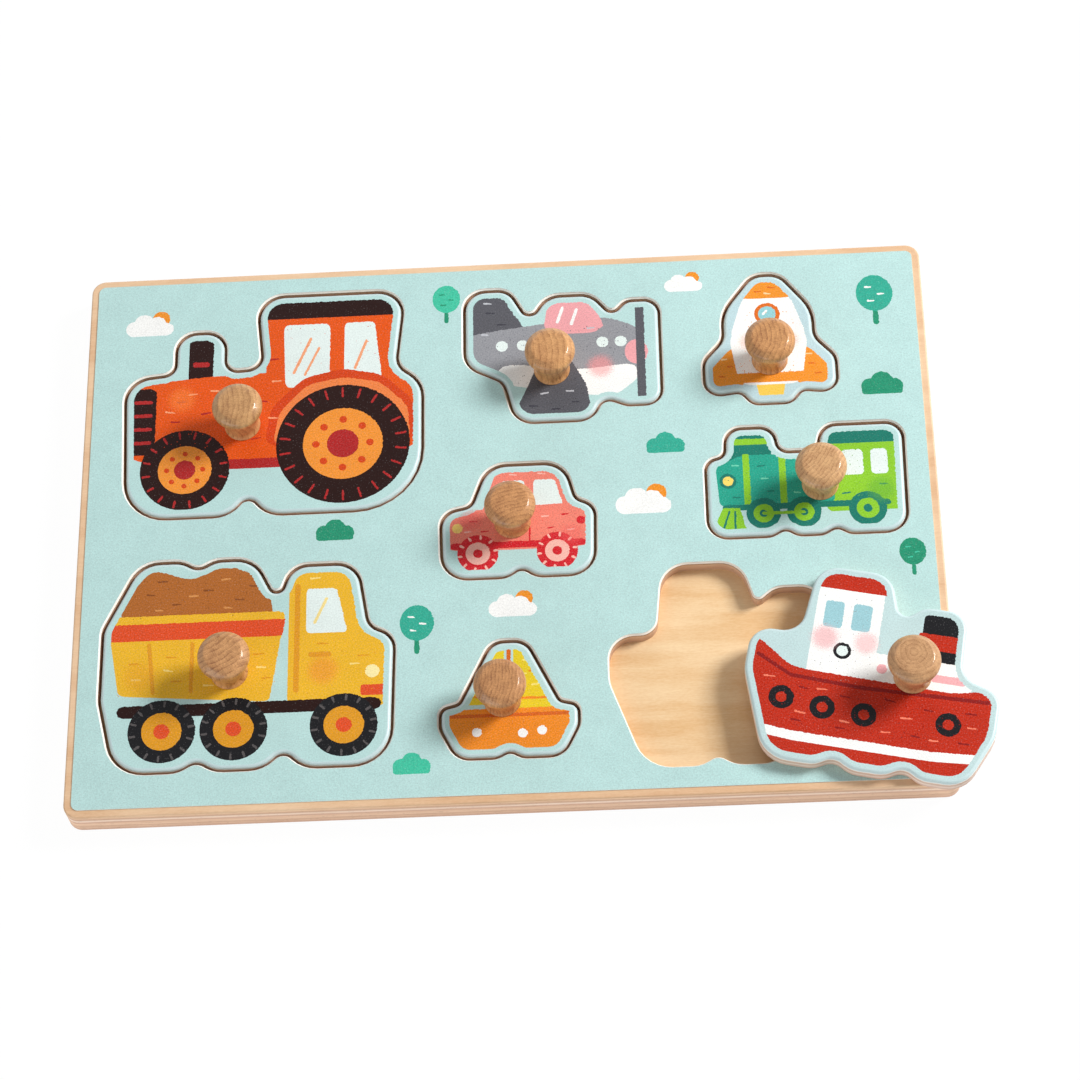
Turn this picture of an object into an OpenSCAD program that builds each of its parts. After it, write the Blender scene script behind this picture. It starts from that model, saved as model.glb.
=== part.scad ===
// Peg puzzle tray with eight lift-out vehicle pieces, each held by a turned wooden knob.
// The origin is the centre of the tray's underside, +X runs along the tray and +Z is up.
// A piece is drawn flat with its origin at the centre of its own underside, and then laid in place.

/* [Tray] */
// Length of the tray along X
tray_w = 300; // [250:1:420]
// Depth of the tray along Y
tray_d = 210; // [190:1:320]
// Thickness of the plain panel under the pockets
back_t = 6.5; // [3:0.1:8]
// Thickness of the panel that the pockets are cut through
front_t = 5.2; // [4:0.1:12]
// Radius of the tray's four upright corners
tray_corner_r = 5; // [3:0.5:20]
// Radius of the rounding along the tray's outer edges
tray_edge_r = 1.3; // [0.5:0.1:2]
// Width of the bare wooden rim round the printed sheet
rim_w = 2.7; // [2.2:0.1:10]
// Radius of the printed sheet's corners
sheet_corner_r = 2.5; // [1.5:0.5:15]
// Least width of the wood left between a pocket and the tray's edge
edge_web = 2; // [1.5:0.5:10]

/* [Pieces] */
// Thickness of the pieces' plywood
piece_t = 5; // [4:0.1:12]
// Thickness of the printed sheets
print_t = 0.3; // [0.2:0.05:0.5]
// Clearance between a piece and its pocket, all round
piece_gap = 1; // [0.5:0.1:1.5]
// Radius of the rounding along a piece's upper edge
piece_edge_r = 1.2; // [0.5:0.1:1.6]
// Width of the eased edge round a pocket's mouth
mouth_ease = 0.5; // [0.2:0.1:0.8]

/* [Knobs] */
// Diameter of a knob's head
knob_head_d = 17.8; // [14:0.1:24]
// Diameter of a knob's waist, just above its foot
knob_waist_d = 11.4; // [9:0.2:13]
// Diameter of a knob's foot, where it stands on the piece
knob_foot_d = 12.8; // [10:0.2:16]
// Height of a knob
knob_h = 16.5; // [14:0.5:24]
// Height of the waist above the piece
knob_waist_h = 2.8; // [2:0.2:4]
// Radius of the rounding at the widest part of the head
knob_shoulder_r = 2.6; // [1.5:0.1:3.5]
// Rise of the domed top of the head
knob_dome_h = 0.9; // [0.4:0.1:1.5]

/* [Screws] */
// Diameter of a screw's shank
screw_d = 3; // [2:0.5:4]
// Length of a screw
screw_l = 14; // [11:0.5:16]
// Diameter of a screw's countersunk head
screw_head_d = 6; // [5:0.5:8]
// Thickness of a screw's countersunk head
screw_head_t = 1.7; // [1:0.1:2.4]
// Depth that a screw's head lies below the piece's underside
screw_sink = 0.3; // [0.1:0.1:0.6]
// Width of each slot in the cross of a screw's head
cross_slot_w = 0.9; // [0.5:0.1:1.2]
// Clearance round a screw
screw_gap = 0.05; // [0.02:0.01:0.1]

/* [Tractor] */
// Length of the tractor piece
tractor_w = 106; // [86:1:118]
// Height of the tractor piece
tractor_d = 88; // [74:1:94]

/* [Aeroplane] */
// Length of the aeroplane piece
aeroplane_w = 69; // [56:1:84]
// Height of the aeroplane piece
aeroplane_d = 54; // [46:1:70]

/* [Rocket] */
// Width of the rocket piece
rocket_w = 46; // [42:1:58]
// Height of the rocket piece
rocket_d = 52; // [46:1:58]

/* [Car] */
// Length of the car piece
car_w = 53; // [46:1:76]
// Height of the car piece
car_d = 43; // [38:1:66]

/* [Locomotive] */
// Length of the locomotive piece
locomotive_w = 68.5; // [58:0.5:84]
// Height of the locomotive piece
locomotive_d = 42; // [38:1:52]

/* [Dump truck] */
// Length of the dump truck piece
dump_truck_w = 100; // [84:1:112]
// Height of the dump truck piece
dump_truck_d = 78; // [66:1:84]

/* [Sailing boat] */
// Length of the sailing boat piece
sailing_boat_w = 46; // [40:1:60]
// Height of the sailing boat piece
sailing_boat_d = 42; // [38:1:66]

/* [Tugboat] */
// Length of the tugboat piece
tugboat_w = 86; // [74:1:98]
// Height of the tugboat piece
tugboat_d = 73; // [62:1:80]
// Angle that the lifted tugboat has been turned by
tugboat_turn = -12; // [-25:1:0]

/* [Hidden] */
// Overrun of a cutting shape past the face that it cuts
over = 0.5;
// Turn between two neighbouring points of a round stretch, in degrees
arc_step = 12;
// Turn between two neighbouring points of a knob's profile, in degrees
profile_step = 9;
// Smoothness of true circles
$fn = 64;
print_z = back_t + front_t;
tray_top = print_z + print_t;

// The webs of wood before the pockets of a line are shares of the length that the line has to spare.
top_row_web_shares = [0.164, 0.203, 0.204];
middle_row_web_shares = [0.102, 0.739];
bottom_row_web_shares = [0.134, 0.25, 0.174];
left_column_web_shares = [0.356, 0.45];
middle_column_web_shares = [0.221, 0.38, 0.254];
right_column_web_shares = [0.255, 0.267, 0.255];
// The lifted tugboat lies over the tray's front right corner, in shares of the tray from its centre.
tugboat_lifted_share = [0.41, -0.31];

// Knob places are shares of the piece, from its lower left corner.
tractor_knob_share = [0.4, 0.405];
aeroplane_knob_share = [0.445, 0.38];
rocket_knob_share = [0.5, 0.33];
car_knob_share = [0.465, 0.48];
locomotive_knob_share = [0.57, 0.45];
dump_truck_knob_share = [0.44, 0.455];
sailing_boat_knob_share = [0.45, 0.49];
tugboat_knob_share = [0.65, 0.5];

// Outlines run anticlockwise. Each corner is [along, up, radius], in shares of length, height, height.
tractor_outline_shares = [
    [0.02, 0, 0.17],
    [0.36, 0, 0.13],
    [0.425, 0.1, 0.07],
    [0.49, 0, 0.22],
    [1, 0, 0.27],
    [1, 0.57, 0.16],
    [0.91, 0.65, 0.09],
    [0.94, 1, 0.1],
    [0.44, 1, 0.1],
    [0.47, 0.66, 0.07],
    [0.33, 0.65, 0.06],
    [0.33, 0.84, 0.08],
    [0.17, 0.84, 0.08],
    [0.17, 0.65, 0.06],
    [0, 0.63, 0.12]
];
aeroplane_outline_shares = [
    [0.26, 0, 0.15],
    [0.64, 0, 0.15],
    [0.7, 0.17, 0.09],
    [0.83, 0.1, 0.09],
    [1, 0.1, 0.11],
    [1, 0.88, 0.11],
    [0.84, 0.88, 0.09],
    [0.76, 0.77, 0.07],
    [0.65, 0.94, 0.15],
    [0.43, 0.94, 0.15],
    [0.33, 0.74, 0.11],
    [0.22, 1, 0.12],
    [0, 1, 0.14],
    [0, 0.44, 0.16],
    [0.2, 0.31, 0.13]
];
rocket_outline_shares = [
    [0, 0.07, 0.13],
    [0.27, 0.1, 0.08],
    [0.36, 0, 0.09],
    [0.64, 0, 0.09],
    [0.73, 0.1, 0.08],
    [1, 0.07, 0.13],
    [1, 0.34, 0.12],
    [0.84, 0.5, 0.16],
    [0.84, 0.72, 0.3],
    [0.6, 1, 0.14],
    [0.4, 1, 0.14],
    [0.16, 0.72, 0.3],
    [0.16, 0.5, 0.16],
    [0, 0.34, 0.12]
];
car_outline_shares = [
    [0.01, 0, 0.21],
    [0.42, 0, 0.19],
    [0.52, 0.09, 0.1],
    [0.62, 0, 0.19],
    [0.99, 0, 0.21],
    [1, 0.6, 0.19],
    [0.87, 0.67, 0.12],
    [0.8, 1, 0.21],
    [0.31, 1, 0.21],
    [0.2, 0.63, 0.12],
    [0, 0.58, 0.19]
];
locomotive_outline_shares = [
    [0, 0, 0.16],
    [0.31, 0, 0.14],
    [0.38, 0.07, 0.1],
    [0.45, 0, 0.14],
    [0.57, 0, 0.14],
    [0.64, 0.07, 0.1],
    [0.71, 0, 0.14],
    [0.99, 0, 0.18],
    [1, 1, 0.14],
    [0.6, 1, 0.14],
    [0.57, 0.76, 0.12],
    [0.36, 0.76, 0.12],
    [0.34, 1, 0.13],
    [0.11, 1, 0.13],
    [0.1, 0.74, 0.1],
    [0, 0.7, 0.12]
];
dump_truck_outline_shares = [
    [0.06, 0, 0.17],
    [0.27, 0, 0.13],
    [0.335, 0.05, 0.07],
    [0.4, 0, 0.13],
    [0.56, 0, 0.15],
    [0.63, 0.09, 0.08],
    [0.7, 0, 0.15],
    [0.99, 0, 0.17],
    [1, 0.6, 0.12],
    [0.91, 0.65, 0.09],
    [0.87, 0.96, 0.11],
    [0.65, 0.96, 0.1],
    [0.6, 0.77, 0.08],
    [0.51, 1, 0.15],
    [0.38, 1, 0.12],
    [0.32, 0.955, 0.08],
    [0.26, 1, 0.12],
    [0.12, 1, 0.18],
    [0, 0.68, 0.12],
    [0, 0.34, 0.12]
];
sailing_boat_outline_shares = [
    [0.12, 0, 0.17],
    [0.4, 0, 0.14],
    [0.5, 0.06, 0.1],
    [0.6, 0, 0.14],
    [0.88, 0, 0.17],
    [1, 0.26, 0.16],
    [1, 0.42, 0.07],
    [0.86, 0.46, 0.09],
    [0.62, 1, 0.15],
    [0.38, 1, 0.15],
    [0.14, 0.46, 0.09],
    [0, 0.42, 0.07],
    [0, 0.26, 0.16]
];
tugboat_outline_shares = [
    [0.13, 0, 0.17],
    [0.33, 0, 0.13],
    [0.4, 0.05, 0.07],
    [0.47, 0, 0.13],
    [0.6, 0, 0.13],
    [0.67, 0.05, 0.07],
    [0.74, 0, 0.13],
    [0.91, 0, 0.19],
    [1, 0.26, 0.2],
    [1, 0.48, 0.1],
    [0.84, 0.53, 0.1],
    [0.83, 0.86, 0.11],
    [0.66, 0.86, 0.1],
    [0.57, 0.77, 0.07],
    [0.51, 1, 0.12],
    [0.22, 1, 0.12],
    [0.19, 0.64, 0.1],
    [0, 0.64, 0.11],
    [0, 0.42, 0.16]
];

// Room that a piece takes in the tray
function pocket(size) = size + 2 * piece_gap;
function sum_of(values) = len(values) == 0 ? 0 : values * [for (value = values) 1];

// Centre of one pocket in a line of pockets that runs from low to high, with its webs as shares of the rest
function in_line(low, high, sizes, web_shares, index) =
    let (
        spare = high - low - sum_of([for (size = sizes) pocket(size)]),
        webs = sum_of([for (i = [0 : index]) web_shares[i]]) * spare,
        passed = sum_of([for (i = [0 : 1 : index - 1]) pocket(sizes[i])])
    )
    low + webs + passed + pocket(sizes[index]) / 2;

left_limit = -tray_w / 2 + edge_web;
right_limit = tray_w / 2 - edge_web;
front_limit = -tray_d / 2 + edge_web;
rear_limit = tray_d / 2 - edge_web;

// Three rows from left to right. The middle one starts beside the tractor.
top_row = [tractor_w, aeroplane_w, rocket_w];
middle_row = [car_w, locomotive_w];
bottom_row = [dump_truck_w, sailing_boat_w, tugboat_w];
function in_top_row(index) = in_line(left_limit, right_limit, top_row, top_row_web_shares, index);
tractor_x = in_top_row(0);
aeroplane_x = in_top_row(1);
rocket_x = in_top_row(2);
tractor_right = tractor_x + pocket(tractor_w) / 2;
function in_middle_row(index) =
    in_line(tractor_right, right_limit, middle_row, middle_row_web_shares, index);
car_x = in_middle_row(0);
locomotive_x = in_middle_row(1);
function in_bottom_row(index) = in_line(left_limit, right_limit, bottom_row, bottom_row_web_shares, index);
dump_truck_x = in_bottom_row(0);
sailing_boat_x = in_bottom_row(1);
tugboat_x = in_bottom_row(2);

// Three columns from front to rear
left_column = [dump_truck_d, tractor_d];
middle_column = [sailing_boat_d, car_d, aeroplane_d];
right_column = [tugboat_d, locomotive_d, rocket_d];
function in_left_column(index) =
    in_line(front_limit, rear_limit, left_column, left_column_web_shares, index);
dump_truck_y = in_left_column(0);
tractor_y = in_left_column(1);
function in_middle_column(index) =
    in_line(front_limit, rear_limit, middle_column, middle_column_web_shares, index);
sailing_boat_y = in_middle_column(0);
car_y = in_middle_column(1);
aeroplane_y = in_middle_column(2);
function in_right_column(index) =
    in_line(front_limit, rear_limit, right_column, right_column_web_shares, index);
tugboat_y = in_right_column(0);
locomotive_y = in_right_column(1);
rocket_y = in_right_column(2);

// Every piece: name, size, outline, knob, place of its pocket, and its own place and turn.
function seated(x, y) = [x, y, back_t];
pieces = [
    ["tractor", [tractor_w, tractor_d], tractor_outline_shares, tractor_knob_share,
        [tractor_x, tractor_y], seated(tractor_x, tractor_y), 0],
    ["aeroplane", [aeroplane_w, aeroplane_d], aeroplane_outline_shares, aeroplane_knob_share,
        [aeroplane_x, aeroplane_y], seated(aeroplane_x, aeroplane_y), 0],
    ["rocket", [rocket_w, rocket_d], rocket_outline_shares, rocket_knob_share,
        [rocket_x, rocket_y], seated(rocket_x, rocket_y), 0],
    ["car", [car_w, car_d], car_outline_shares, car_knob_share,
        [car_x, car_y], seated(car_x, car_y), 0],
    ["locomotive", [locomotive_w, locomotive_d], locomotive_outline_shares, locomotive_knob_share,
        [locomotive_x, locomotive_y], seated(locomotive_x, locomotive_y), 0],
    ["dump_truck", [dump_truck_w, dump_truck_d], dump_truck_outline_shares, dump_truck_knob_share,
        [dump_truck_x, dump_truck_y], seated(dump_truck_x, dump_truck_y), 0],
    ["sailing_boat", [sailing_boat_w, sailing_boat_d], sailing_boat_outline_shares, sailing_boat_knob_share,
        [sailing_boat_x, sailing_boat_y], seated(sailing_boat_x, sailing_boat_y), 0],
    ["tugboat", [tugboat_w, tugboat_d], tugboat_outline_shares, tugboat_knob_share,
        [tugboat_x, tugboat_y],
        [tugboat_lifted_share.x * tray_w, tugboat_lifted_share.y * tray_d, tray_top], tugboat_turn]
];
function name_of(piece) = piece[0];
function size_of(piece) = piece[1];
function outline_shares_of(piece) = piece[2];
function knob_share_of(piece) = piece[3];
function pocket_place_of(piece) = piece[4];
function place_of(piece) = piece[5];
function turn_of(piece) = piece[6];

// A corner of an outline as [centre, radius, start angle, turn]. The radius and the turn are positive
// on an outward corner and negative on an inward one, so one distance moves the whole outline.
// A rounding takes no more than this share of the shorter side beside it.
room_share = 0.48;
function unit(v) = v / norm(v);
function outward(direction) = [direction.y, -direction.x];
function round_corner(before, here, after, wanted_r) =
    let (
        way_in = unit(here - before),
        way_out = unit(after - here),
        turn = atan2(cross(way_in, way_out), way_in * way_out),
        room = room_share * min(norm(here - before), norm(after - here)),
        radius = sign(turn) * min(wanted_r, room / tan(abs(turn) / 2)),
        middle = unit(outward(way_in) + outward(way_out)),
        centre = here - middle * radius / cos(turn / 2),
        start = atan2(outward(way_in).y, outward(way_in).x)
    )
    [centre, radius, start, turn];

// All the corners of an outline whose points are [x, y, radius]
function corners_of(points) = [
    for (i = [0 : len(points) - 1])
        let (
            before = points[(i + len(points) - 1) % len(points)],
            here = points[i],
            after = points[(i + 1) % len(points)]
        )
        round_corner([before.x, before.y], [here.x, here.y], [after.x, after.y], here[2])
];

// The outline that runs at a distance outside the given corners, as points
function contour(corners, distance) = [
    for (corner = corners)
        let (steps = max(1, ceil(abs(corner[3]) / arc_step)))
        for (i = [0 : steps])
            let (angle = corner[2] + corner[3] * i / steps)
            corner[0] + (corner[1] + distance) * [cos(angle), sin(angle)]
];

// The corners of a piece, about the centre of its underside
function piece_corners(piece) =
    let (size = size_of(piece))
    corners_of([
        for (share = outline_shares_of(piece))
            [(share.x - 0.5) * size.x, (share.y - 0.5) * size.y, share[2] * size.y]
    ]);

// The corners of a rectangle about the origin
function rectangle_corners(w, d, r) = corners_of([
    [-w / 2, -d / 2, r],
    [w / 2, -d / 2, r],
    [w / 2, d / 2, r],
    [-w / 2, d / 2, r]
]);

// A closed ring that follows an outline. Its cross-section is a list of [distance, height] points.
module ring(corners, section) {
    count = len(contour(corners, 0));
    points = [
        for (place = section)
            for (point = contour(corners, place[0]))
                [point.x, point.y, place[1]]
    ];
    polyhedron(
        points = points,
        faces = [
            for (row = [0 : len(section) - 1])
                let (next_row = (row + 1) % len(section))
                for (i = [0 : count - 1])
                    let (next = (i + 1) % count)
                    [row * count + i, next_row * count + i, next_row * count + next, row * count + next]
        ]
    );
}

// The cross-section of a cutter that rounds an upper edge in flats, from the top down
round_flats = 3;
function rounding_section(r, top) =
    let (
        arc = [
            for (i = [0 : round_flats])
                let (angle = 90 - 90 * i / round_flats)
                [r * (cos(angle) - 1), top - r * (1 - sin(angle))]
        ],
        high_way = unit(arc[0] - arc[1]),
        low_way = unit(arc[round_flats] - arc[round_flats - 1])
    )
    concat(
        [[over, top + over], arc[0] + high_way * over],
        [for (i = [1 : round_flats - 1]) arc[i]],
        [arc[round_flats] + low_way * over]
    );

// The cross-section of a cutter that eases the upper edge of a cut-out
function easing_section(ease, top) = [
    [-over, top - ease - over],
    [ease + over, top + over],
    [-over, top + over]
];

// A slab with rounded corners and one rounded edge, upper or lower
module tray_slab(thickness, rounded_top) {
    corners = rectangle_corners(tray_w, tray_d, tray_corner_r);
    translate([0, 0, rounded_top ? 0 : thickness]) mirror([0, 0, rounded_top ? 0 : 1])
        difference() {
            linear_extrude(thickness) polygon(contour(corners, 0));
            ring(corners, rounding_section(tray_edge_r, thickness));
        }
}

// Plain plywood panel that closes the pockets from below
module back_panel() {
    color("burlywood") tray_slab(back_t, false);
}

// Plywood panel with the eight pockets
module front_panel() {
    color("wheat") translate([0, 0, back_t]) difference() {
        tray_slab(front_t, true);
        for (piece = pieces)
            translate(pocket_place_of(piece)) {
                corners = piece_corners(piece);
                translate([0, 0, -over]) linear_extrude(front_t + 2 * over)
                    polygon(contour(corners, piece_gap));
                ring(corners, [for (place = easing_section(mouth_ease, front_t)) place + [piece_gap, 0]]);
            }
    }
}

// Printed sheet glued to the front panel, cut out with the pockets
module front_print() {
    sheet = rectangle_corners(tray_w - 2 * rim_w, tray_d - 2 * rim_w, sheet_corner_r);
    color("paleturquoise") translate([0, 0, print_z]) linear_extrude(print_t) difference() {
        polygon(contour(sheet, 0));
        for (piece = pieces)
            translate(pocket_place_of(piece))
                polygon(contour(piece_corners(piece), piece_gap + mouth_ease));
    }
}

// Lays a shape in a piece's own place in the tray, or beside it where the piece has been lifted out
module laid(piece) {
    translate(place_of(piece)) rotate([0, 0, turn_of(piece)]) children();
}

// Moves a shape from the centre of a piece to its knob
module at_knob(piece) {
    size = size_of(piece);
    share = knob_share_of(piece);
    translate([(share.x - 0.5) * size.x, (share.y - 0.5) * size.y, 0]) children();
}

// Space for a screw, from the underside of a piece upwards
module screw_space(depth) {
    translate([0, 0, -over]) cylinder(h = depth + over, d = screw_d + 2 * screw_gap);
}

// Countersink for a screw's head
module countersink() {
    head_space_d = screw_head_d + 2 * screw_gap;
    shank_space_d = screw_d + 2 * screw_gap;
    translate([0, 0, -over]) cylinder(h = screw_sink + over, d = head_space_d);
    translate([0, 0, screw_sink]) cylinder(h = screw_head_t, d1 = head_space_d, d2 = shank_space_d);
}

// Plywood block of a piece, with its upper edge rounded
module piece_block(piece) {
    corners = piece_corners(piece);
    color("bisque") laid(piece) difference() {
        linear_extrude(piece_t) polygon(contour(corners, 0));
        ring(corners, rounding_section(piece_edge_r, piece_t));
        at_knob(piece) {
            screw_space(piece_t + over);
            countersink();
        }
    }
}

// Printed sheet on the flat top of a piece
module piece_print(piece) {
    color("powderblue") laid(piece) translate([0, 0, piece_t]) linear_extrude(print_t) difference() {
        polygon(contour(piece_corners(piece), -piece_edge_r));
        at_knob(piece) circle(d = screw_d + 2 * screw_gap);
    }
}

// Profile of a knob from its foot to the middle of its top, as [radius, height] points
function arc_points(centre, r, from, to) =
    let (steps = ceil(abs(to - from) / profile_step))
    [
        for (i = [0 : steps])
            let (angle = from + (to - from) * i / steps)
            centre + r * [cos(angle), sin(angle)]
    ];
foot_r = knob_foot_d / 2;
waist_r = knob_waist_d / 2;
head_r = knob_head_d / 2;
// The foot flares out from the waist in a hollow that ends above a small upright rim.
foot_rim_h = knob_waist_h * 0.2;
flare_h = knob_waist_h - foot_rim_h;
flare_out = foot_r - waist_r;
hollow_r = (flare_h * flare_h + flare_out * flare_out) / (2 * flare_out);
hollow_angle = asin(flare_h / hollow_r);
// The shoulder's rounding starts square to the cone that rises from the waist.
shoulder_h = knob_h - knob_dome_h - knob_shoulder_r;
shoulder_centre = [head_r - knob_shoulder_r, shoulder_h];
cone_angle = atan2(shoulder_h - knob_waist_h, head_r - waist_r);
dome_half_w = head_r - knob_shoulder_r;
dome_r = (dome_half_w * dome_half_w + knob_dome_h * knob_dome_h) / (2 * knob_dome_h);
dome_angle = asin(dome_half_w / dome_r);
function knob_profile() = concat(
    [[0, 0], [foot_r, 0]],
    arc_points([waist_r + hollow_r, knob_waist_h], hollow_r, 180 + hollow_angle, 180),
    arc_points(shoulder_centre, knob_shoulder_r, cone_angle - 90, 90 - dome_angle),
    arc_points([0, knob_h - dome_r], dome_r, 90 - dome_angle, 90)
);

// Turned wooden knob, bored from below for its screw
module piece_knob(piece) {
    screw_reach = screw_sink + screw_l - piece_t - print_t;
    color("peru") laid(piece) translate([0, 0, piece_t + print_t]) at_knob(piece) difference() {
        rotate_extrude() polygon(knob_profile());
        screw_space(screw_reach + over);
    }
}

// Countersunk screw that holds the knob from below, with a cross in its head
module piece_screw(piece) {
    tip_h = screw_d;
    cross_l = screw_head_d * 0.6;
    cross_depth = screw_head_t * 0.7;
    color("silver") laid(piece) at_knob(piece) translate([0, 0, screw_sink]) difference() {
        union() {
            cylinder(h = screw_head_t, d1 = screw_head_d, d2 = screw_d);
            cylinder(h = screw_l - tip_h, d = screw_d);
            translate([0, 0, screw_l - tip_h]) cylinder(h = tip_h, d1 = screw_d, d2 = 0);
        }
        for (turn = [0, 90])
            rotate([0, 0, turn]) translate([-cross_l / 2, -cross_slot_w / 2, -over])
                cube([cross_l, cross_slot_w, cross_depth + over]);
    }
}

tray_nodes = ["back_panel", "front_panel", "front_print"];
piece_parts = ["block", "print", "knob", "screw"];

back_panel();
front_panel();
front_print();
for (piece = pieces) {
    piece_block(piece);
    piece_print(piece);
    piece_knob(piece);
    piece_screw(piece);
}
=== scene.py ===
import math
import random

import bpy
from mathutils import Matrix, Vector
from mathutils.geometry import delaunay_2d_cdt


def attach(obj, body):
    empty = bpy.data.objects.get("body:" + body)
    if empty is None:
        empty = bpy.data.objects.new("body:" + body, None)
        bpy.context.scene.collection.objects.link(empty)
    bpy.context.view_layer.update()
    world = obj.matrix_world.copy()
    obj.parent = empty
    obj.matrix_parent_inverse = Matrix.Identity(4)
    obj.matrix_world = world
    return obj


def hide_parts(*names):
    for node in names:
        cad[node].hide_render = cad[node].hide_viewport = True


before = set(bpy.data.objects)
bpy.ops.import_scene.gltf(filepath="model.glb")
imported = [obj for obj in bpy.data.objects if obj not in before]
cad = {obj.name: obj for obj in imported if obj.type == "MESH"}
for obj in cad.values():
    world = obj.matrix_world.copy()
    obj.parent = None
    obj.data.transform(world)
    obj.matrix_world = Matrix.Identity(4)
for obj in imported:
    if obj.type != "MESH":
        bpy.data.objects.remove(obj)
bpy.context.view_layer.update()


# Back panel of the tray: a plain birch plywood board under the pockets, with its lower edge rounded over.
# Its upper face is the floor that shows in the empty pocket, pale birch with its grain along the tray.
# It is glued under the front panel.
def outlines_of(node, z):
    """The closed outlines, in mm, of a CAD node's flat faces at height z, the longest first."""
    numbers, corners, index = {}, [], []
    for vertex in cad[node].data.vertices:
        key = tuple(round(c * 1e5) for c in vertex.co)
        if key not in numbers:
            numbers[key] = len(corners)
            corners.append(vertex.co * 1000)
        index.append(numbers[key])
    edges = set()
    for face in cad[node].data.polygons:
        ring = [index[i] for i in face.vertices]
        if len(set(ring)) > 2 and all(abs(corners[i].z - z) < 0.02 for i in ring):
            edges.update(zip(ring, ring[1:] + ring[:1]))
    follow = {a: b for a, b in edges if a != b and (b, a) not in edges}
    found = []
    while follow:
        start, here = follow.popitem()
        ring = [start]
        while here != start and here in follow:
            ring.append(here)
            here = follow.pop(here)
        found.append(anticlockwise([Vector((corners[i].x, corners[i].y)) for i in ring]))
    return sorted(found, key=lambda ring: -area_of(ring))


def area_of(ring):
    return sum(a.x * b.y - b.x * a.y for a, b in zip(ring, ring[1:] + ring[:1])) / 2


def anticlockwise(ring):
    return ring if area_of(ring) > 0 else ring[::-1]


def beside(ring, other):
    """The other ring, begun at the point that lies beside the first point of ring."""
    count = len(ring)
    sampled = range(0, count, 5)
    start = min(range(count), key=lambda k: sum((ring[i] - other[(i + k) % count]).length for i in sampled))
    return [other[(i + start) % count] for i in range(count)]


def level_faces(rings, z, up):
    """Triangles that fill the first ring, less the others, at height z."""
    points, loops = [], []
    for ring in rings:
        loops.append(list(range(len(points), len(points) + len(ring))))
        points += ring
    flat, _, faces, _, _, origins = delaunay_2d_cdt(points, [], loops, 1, 1e-5)
    kept = [list(face) for face, origin in zip(faces, origins) if list(origin) == [0]]
    return [(p.x, p.y, z) for p in flat], [face if up else face[::-1] for face in kept]


class Shape:
    """A mesh in the making, in mm, with a material number and a colour for each face."""

    sharp_from = math.radians(40)

    def __init__(self):
        self.points, self.faces, self.slots, self.inks = [], [], [], []

    def add(self, points, faces, slot=0, inks=None):
        base = len(self.points)
        self.points += points
        self.faces += [[base + i for i in face] for face in faces]
        self.slots += [slot] * len(faces)
        self.inks += inks or [(1, 1, 1)] * len(faces)

    def skin(self, rings, slot=0):
        """Joins rings of (points, height), from the bottom of an outer wall to its top."""
        count = len(rings[0][0])
        points = [(p.x, p.y, z) for ring, z in rings for p in ring]
        faces = []
        for low in range(0, (len(rings) - 1) * count, count):
            high = low + count
            for i in range(count):
                after = (i + 1) % count
                faces.append([low + i, low + after, high + after, high + i])
        self.add(points, faces, slot)

    def finish(self, name, materials, body, replaced, place=None, inked=False):
        """Makes the object, which rides on its body and stands for the CAD nodes that it replaces."""
        mesh = bpy.data.meshes.new(name)
        mesh.from_pydata([[c / 1000 for c in p] for p in self.points], [], self.faces)
        for material in materials:
            mesh.materials.append(material)
        mesh.polygons.foreach_set("material_index", self.slots)
        mesh.polygons.foreach_set("use_smooth", [True] * len(self.faces))
        where = mesh.attributes.new("place", "FLOAT_VECTOR", "POINT")
        turned = [(place or Matrix()) @ Vector(p) for p in self.points]
        where.data.foreach_set("vector", [c for p in turned for c in p])
        if inked:
            ink = mesh.color_attributes.new("ink", "FLOAT_COLOR", "CORNER")
            values = [c for face, colour in zip(self.faces, self.inks) for _ in face for c in (*colour, 1)]
            ink.data.foreach_set("color", values)
        mesh.set_sharp_from_angle(angle=self.sharp_from)
        made = bpy.data.objects.new(name, mesh)
        bpy.context.scene.collection.objects.link(made)
        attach(made, body)
        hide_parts(*replaced)


def rgb(red, green, blue):
    """An 8-bit display colour as a scene colour."""
    shares = [c / 255 for c in (red, green, blue)]
    return tuple(c / 12.92 if c <= 0.04 else ((c + 0.055) / 1.055) ** 2.4 for c in shares)


def node_group(name, inputs, outputs):
    tree = bpy.data.node_groups.new(name, "ShaderNodeTree")
    for label, kind, value in inputs:
        socket = tree.interface.new_socket(label, in_out="INPUT", socket_type="NodeSocket" + kind)
        if value is not None:
            socket.default_value = value
    for label, kind in outputs:
        tree.interface.new_socket(label, in_out="OUTPUT", socket_type="NodeSocket" + kind)
    return tree, tree.nodes.new("NodeGroupInput").outputs, tree.nodes.new("NodeGroupOutput").inputs


def add(tree, kind, sockets=None, **settings):
    """A shader node with its settings, its sockets linked or set."""
    made = tree.nodes.new("ShaderNode" + kind)
    for key, value in settings.items():
        setattr(made, key, value)
    for socket, value in (sockets or {}).items():
        if isinstance(value, bpy.types.NodeSocket):
            tree.links.new(value, made.inputs[socket])
        else:
            made.inputs[socket].default_value = value
    return made


def maths(tree, operation, a, b=0.0):
    return add(tree, "Math", {0: a, 1: b}, operation=operation).outputs[0]


def spread(tree, value, low, high, to_low=0.0, to_high=1.0):
    """The value on a new scale, on which low and high become to_low and to_high."""
    return add(tree, "MapRange", {0: value, 1: low, 2: high, 3: to_low, 4: to_high}).outputs[0]


def mixed(tree, factor, a, b, blend="MIX"):
    return add(tree, "Mix", {0: factor, 6: a, 7: b}, data_type="RGBA", blend_type=blend).outputs[2]


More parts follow.
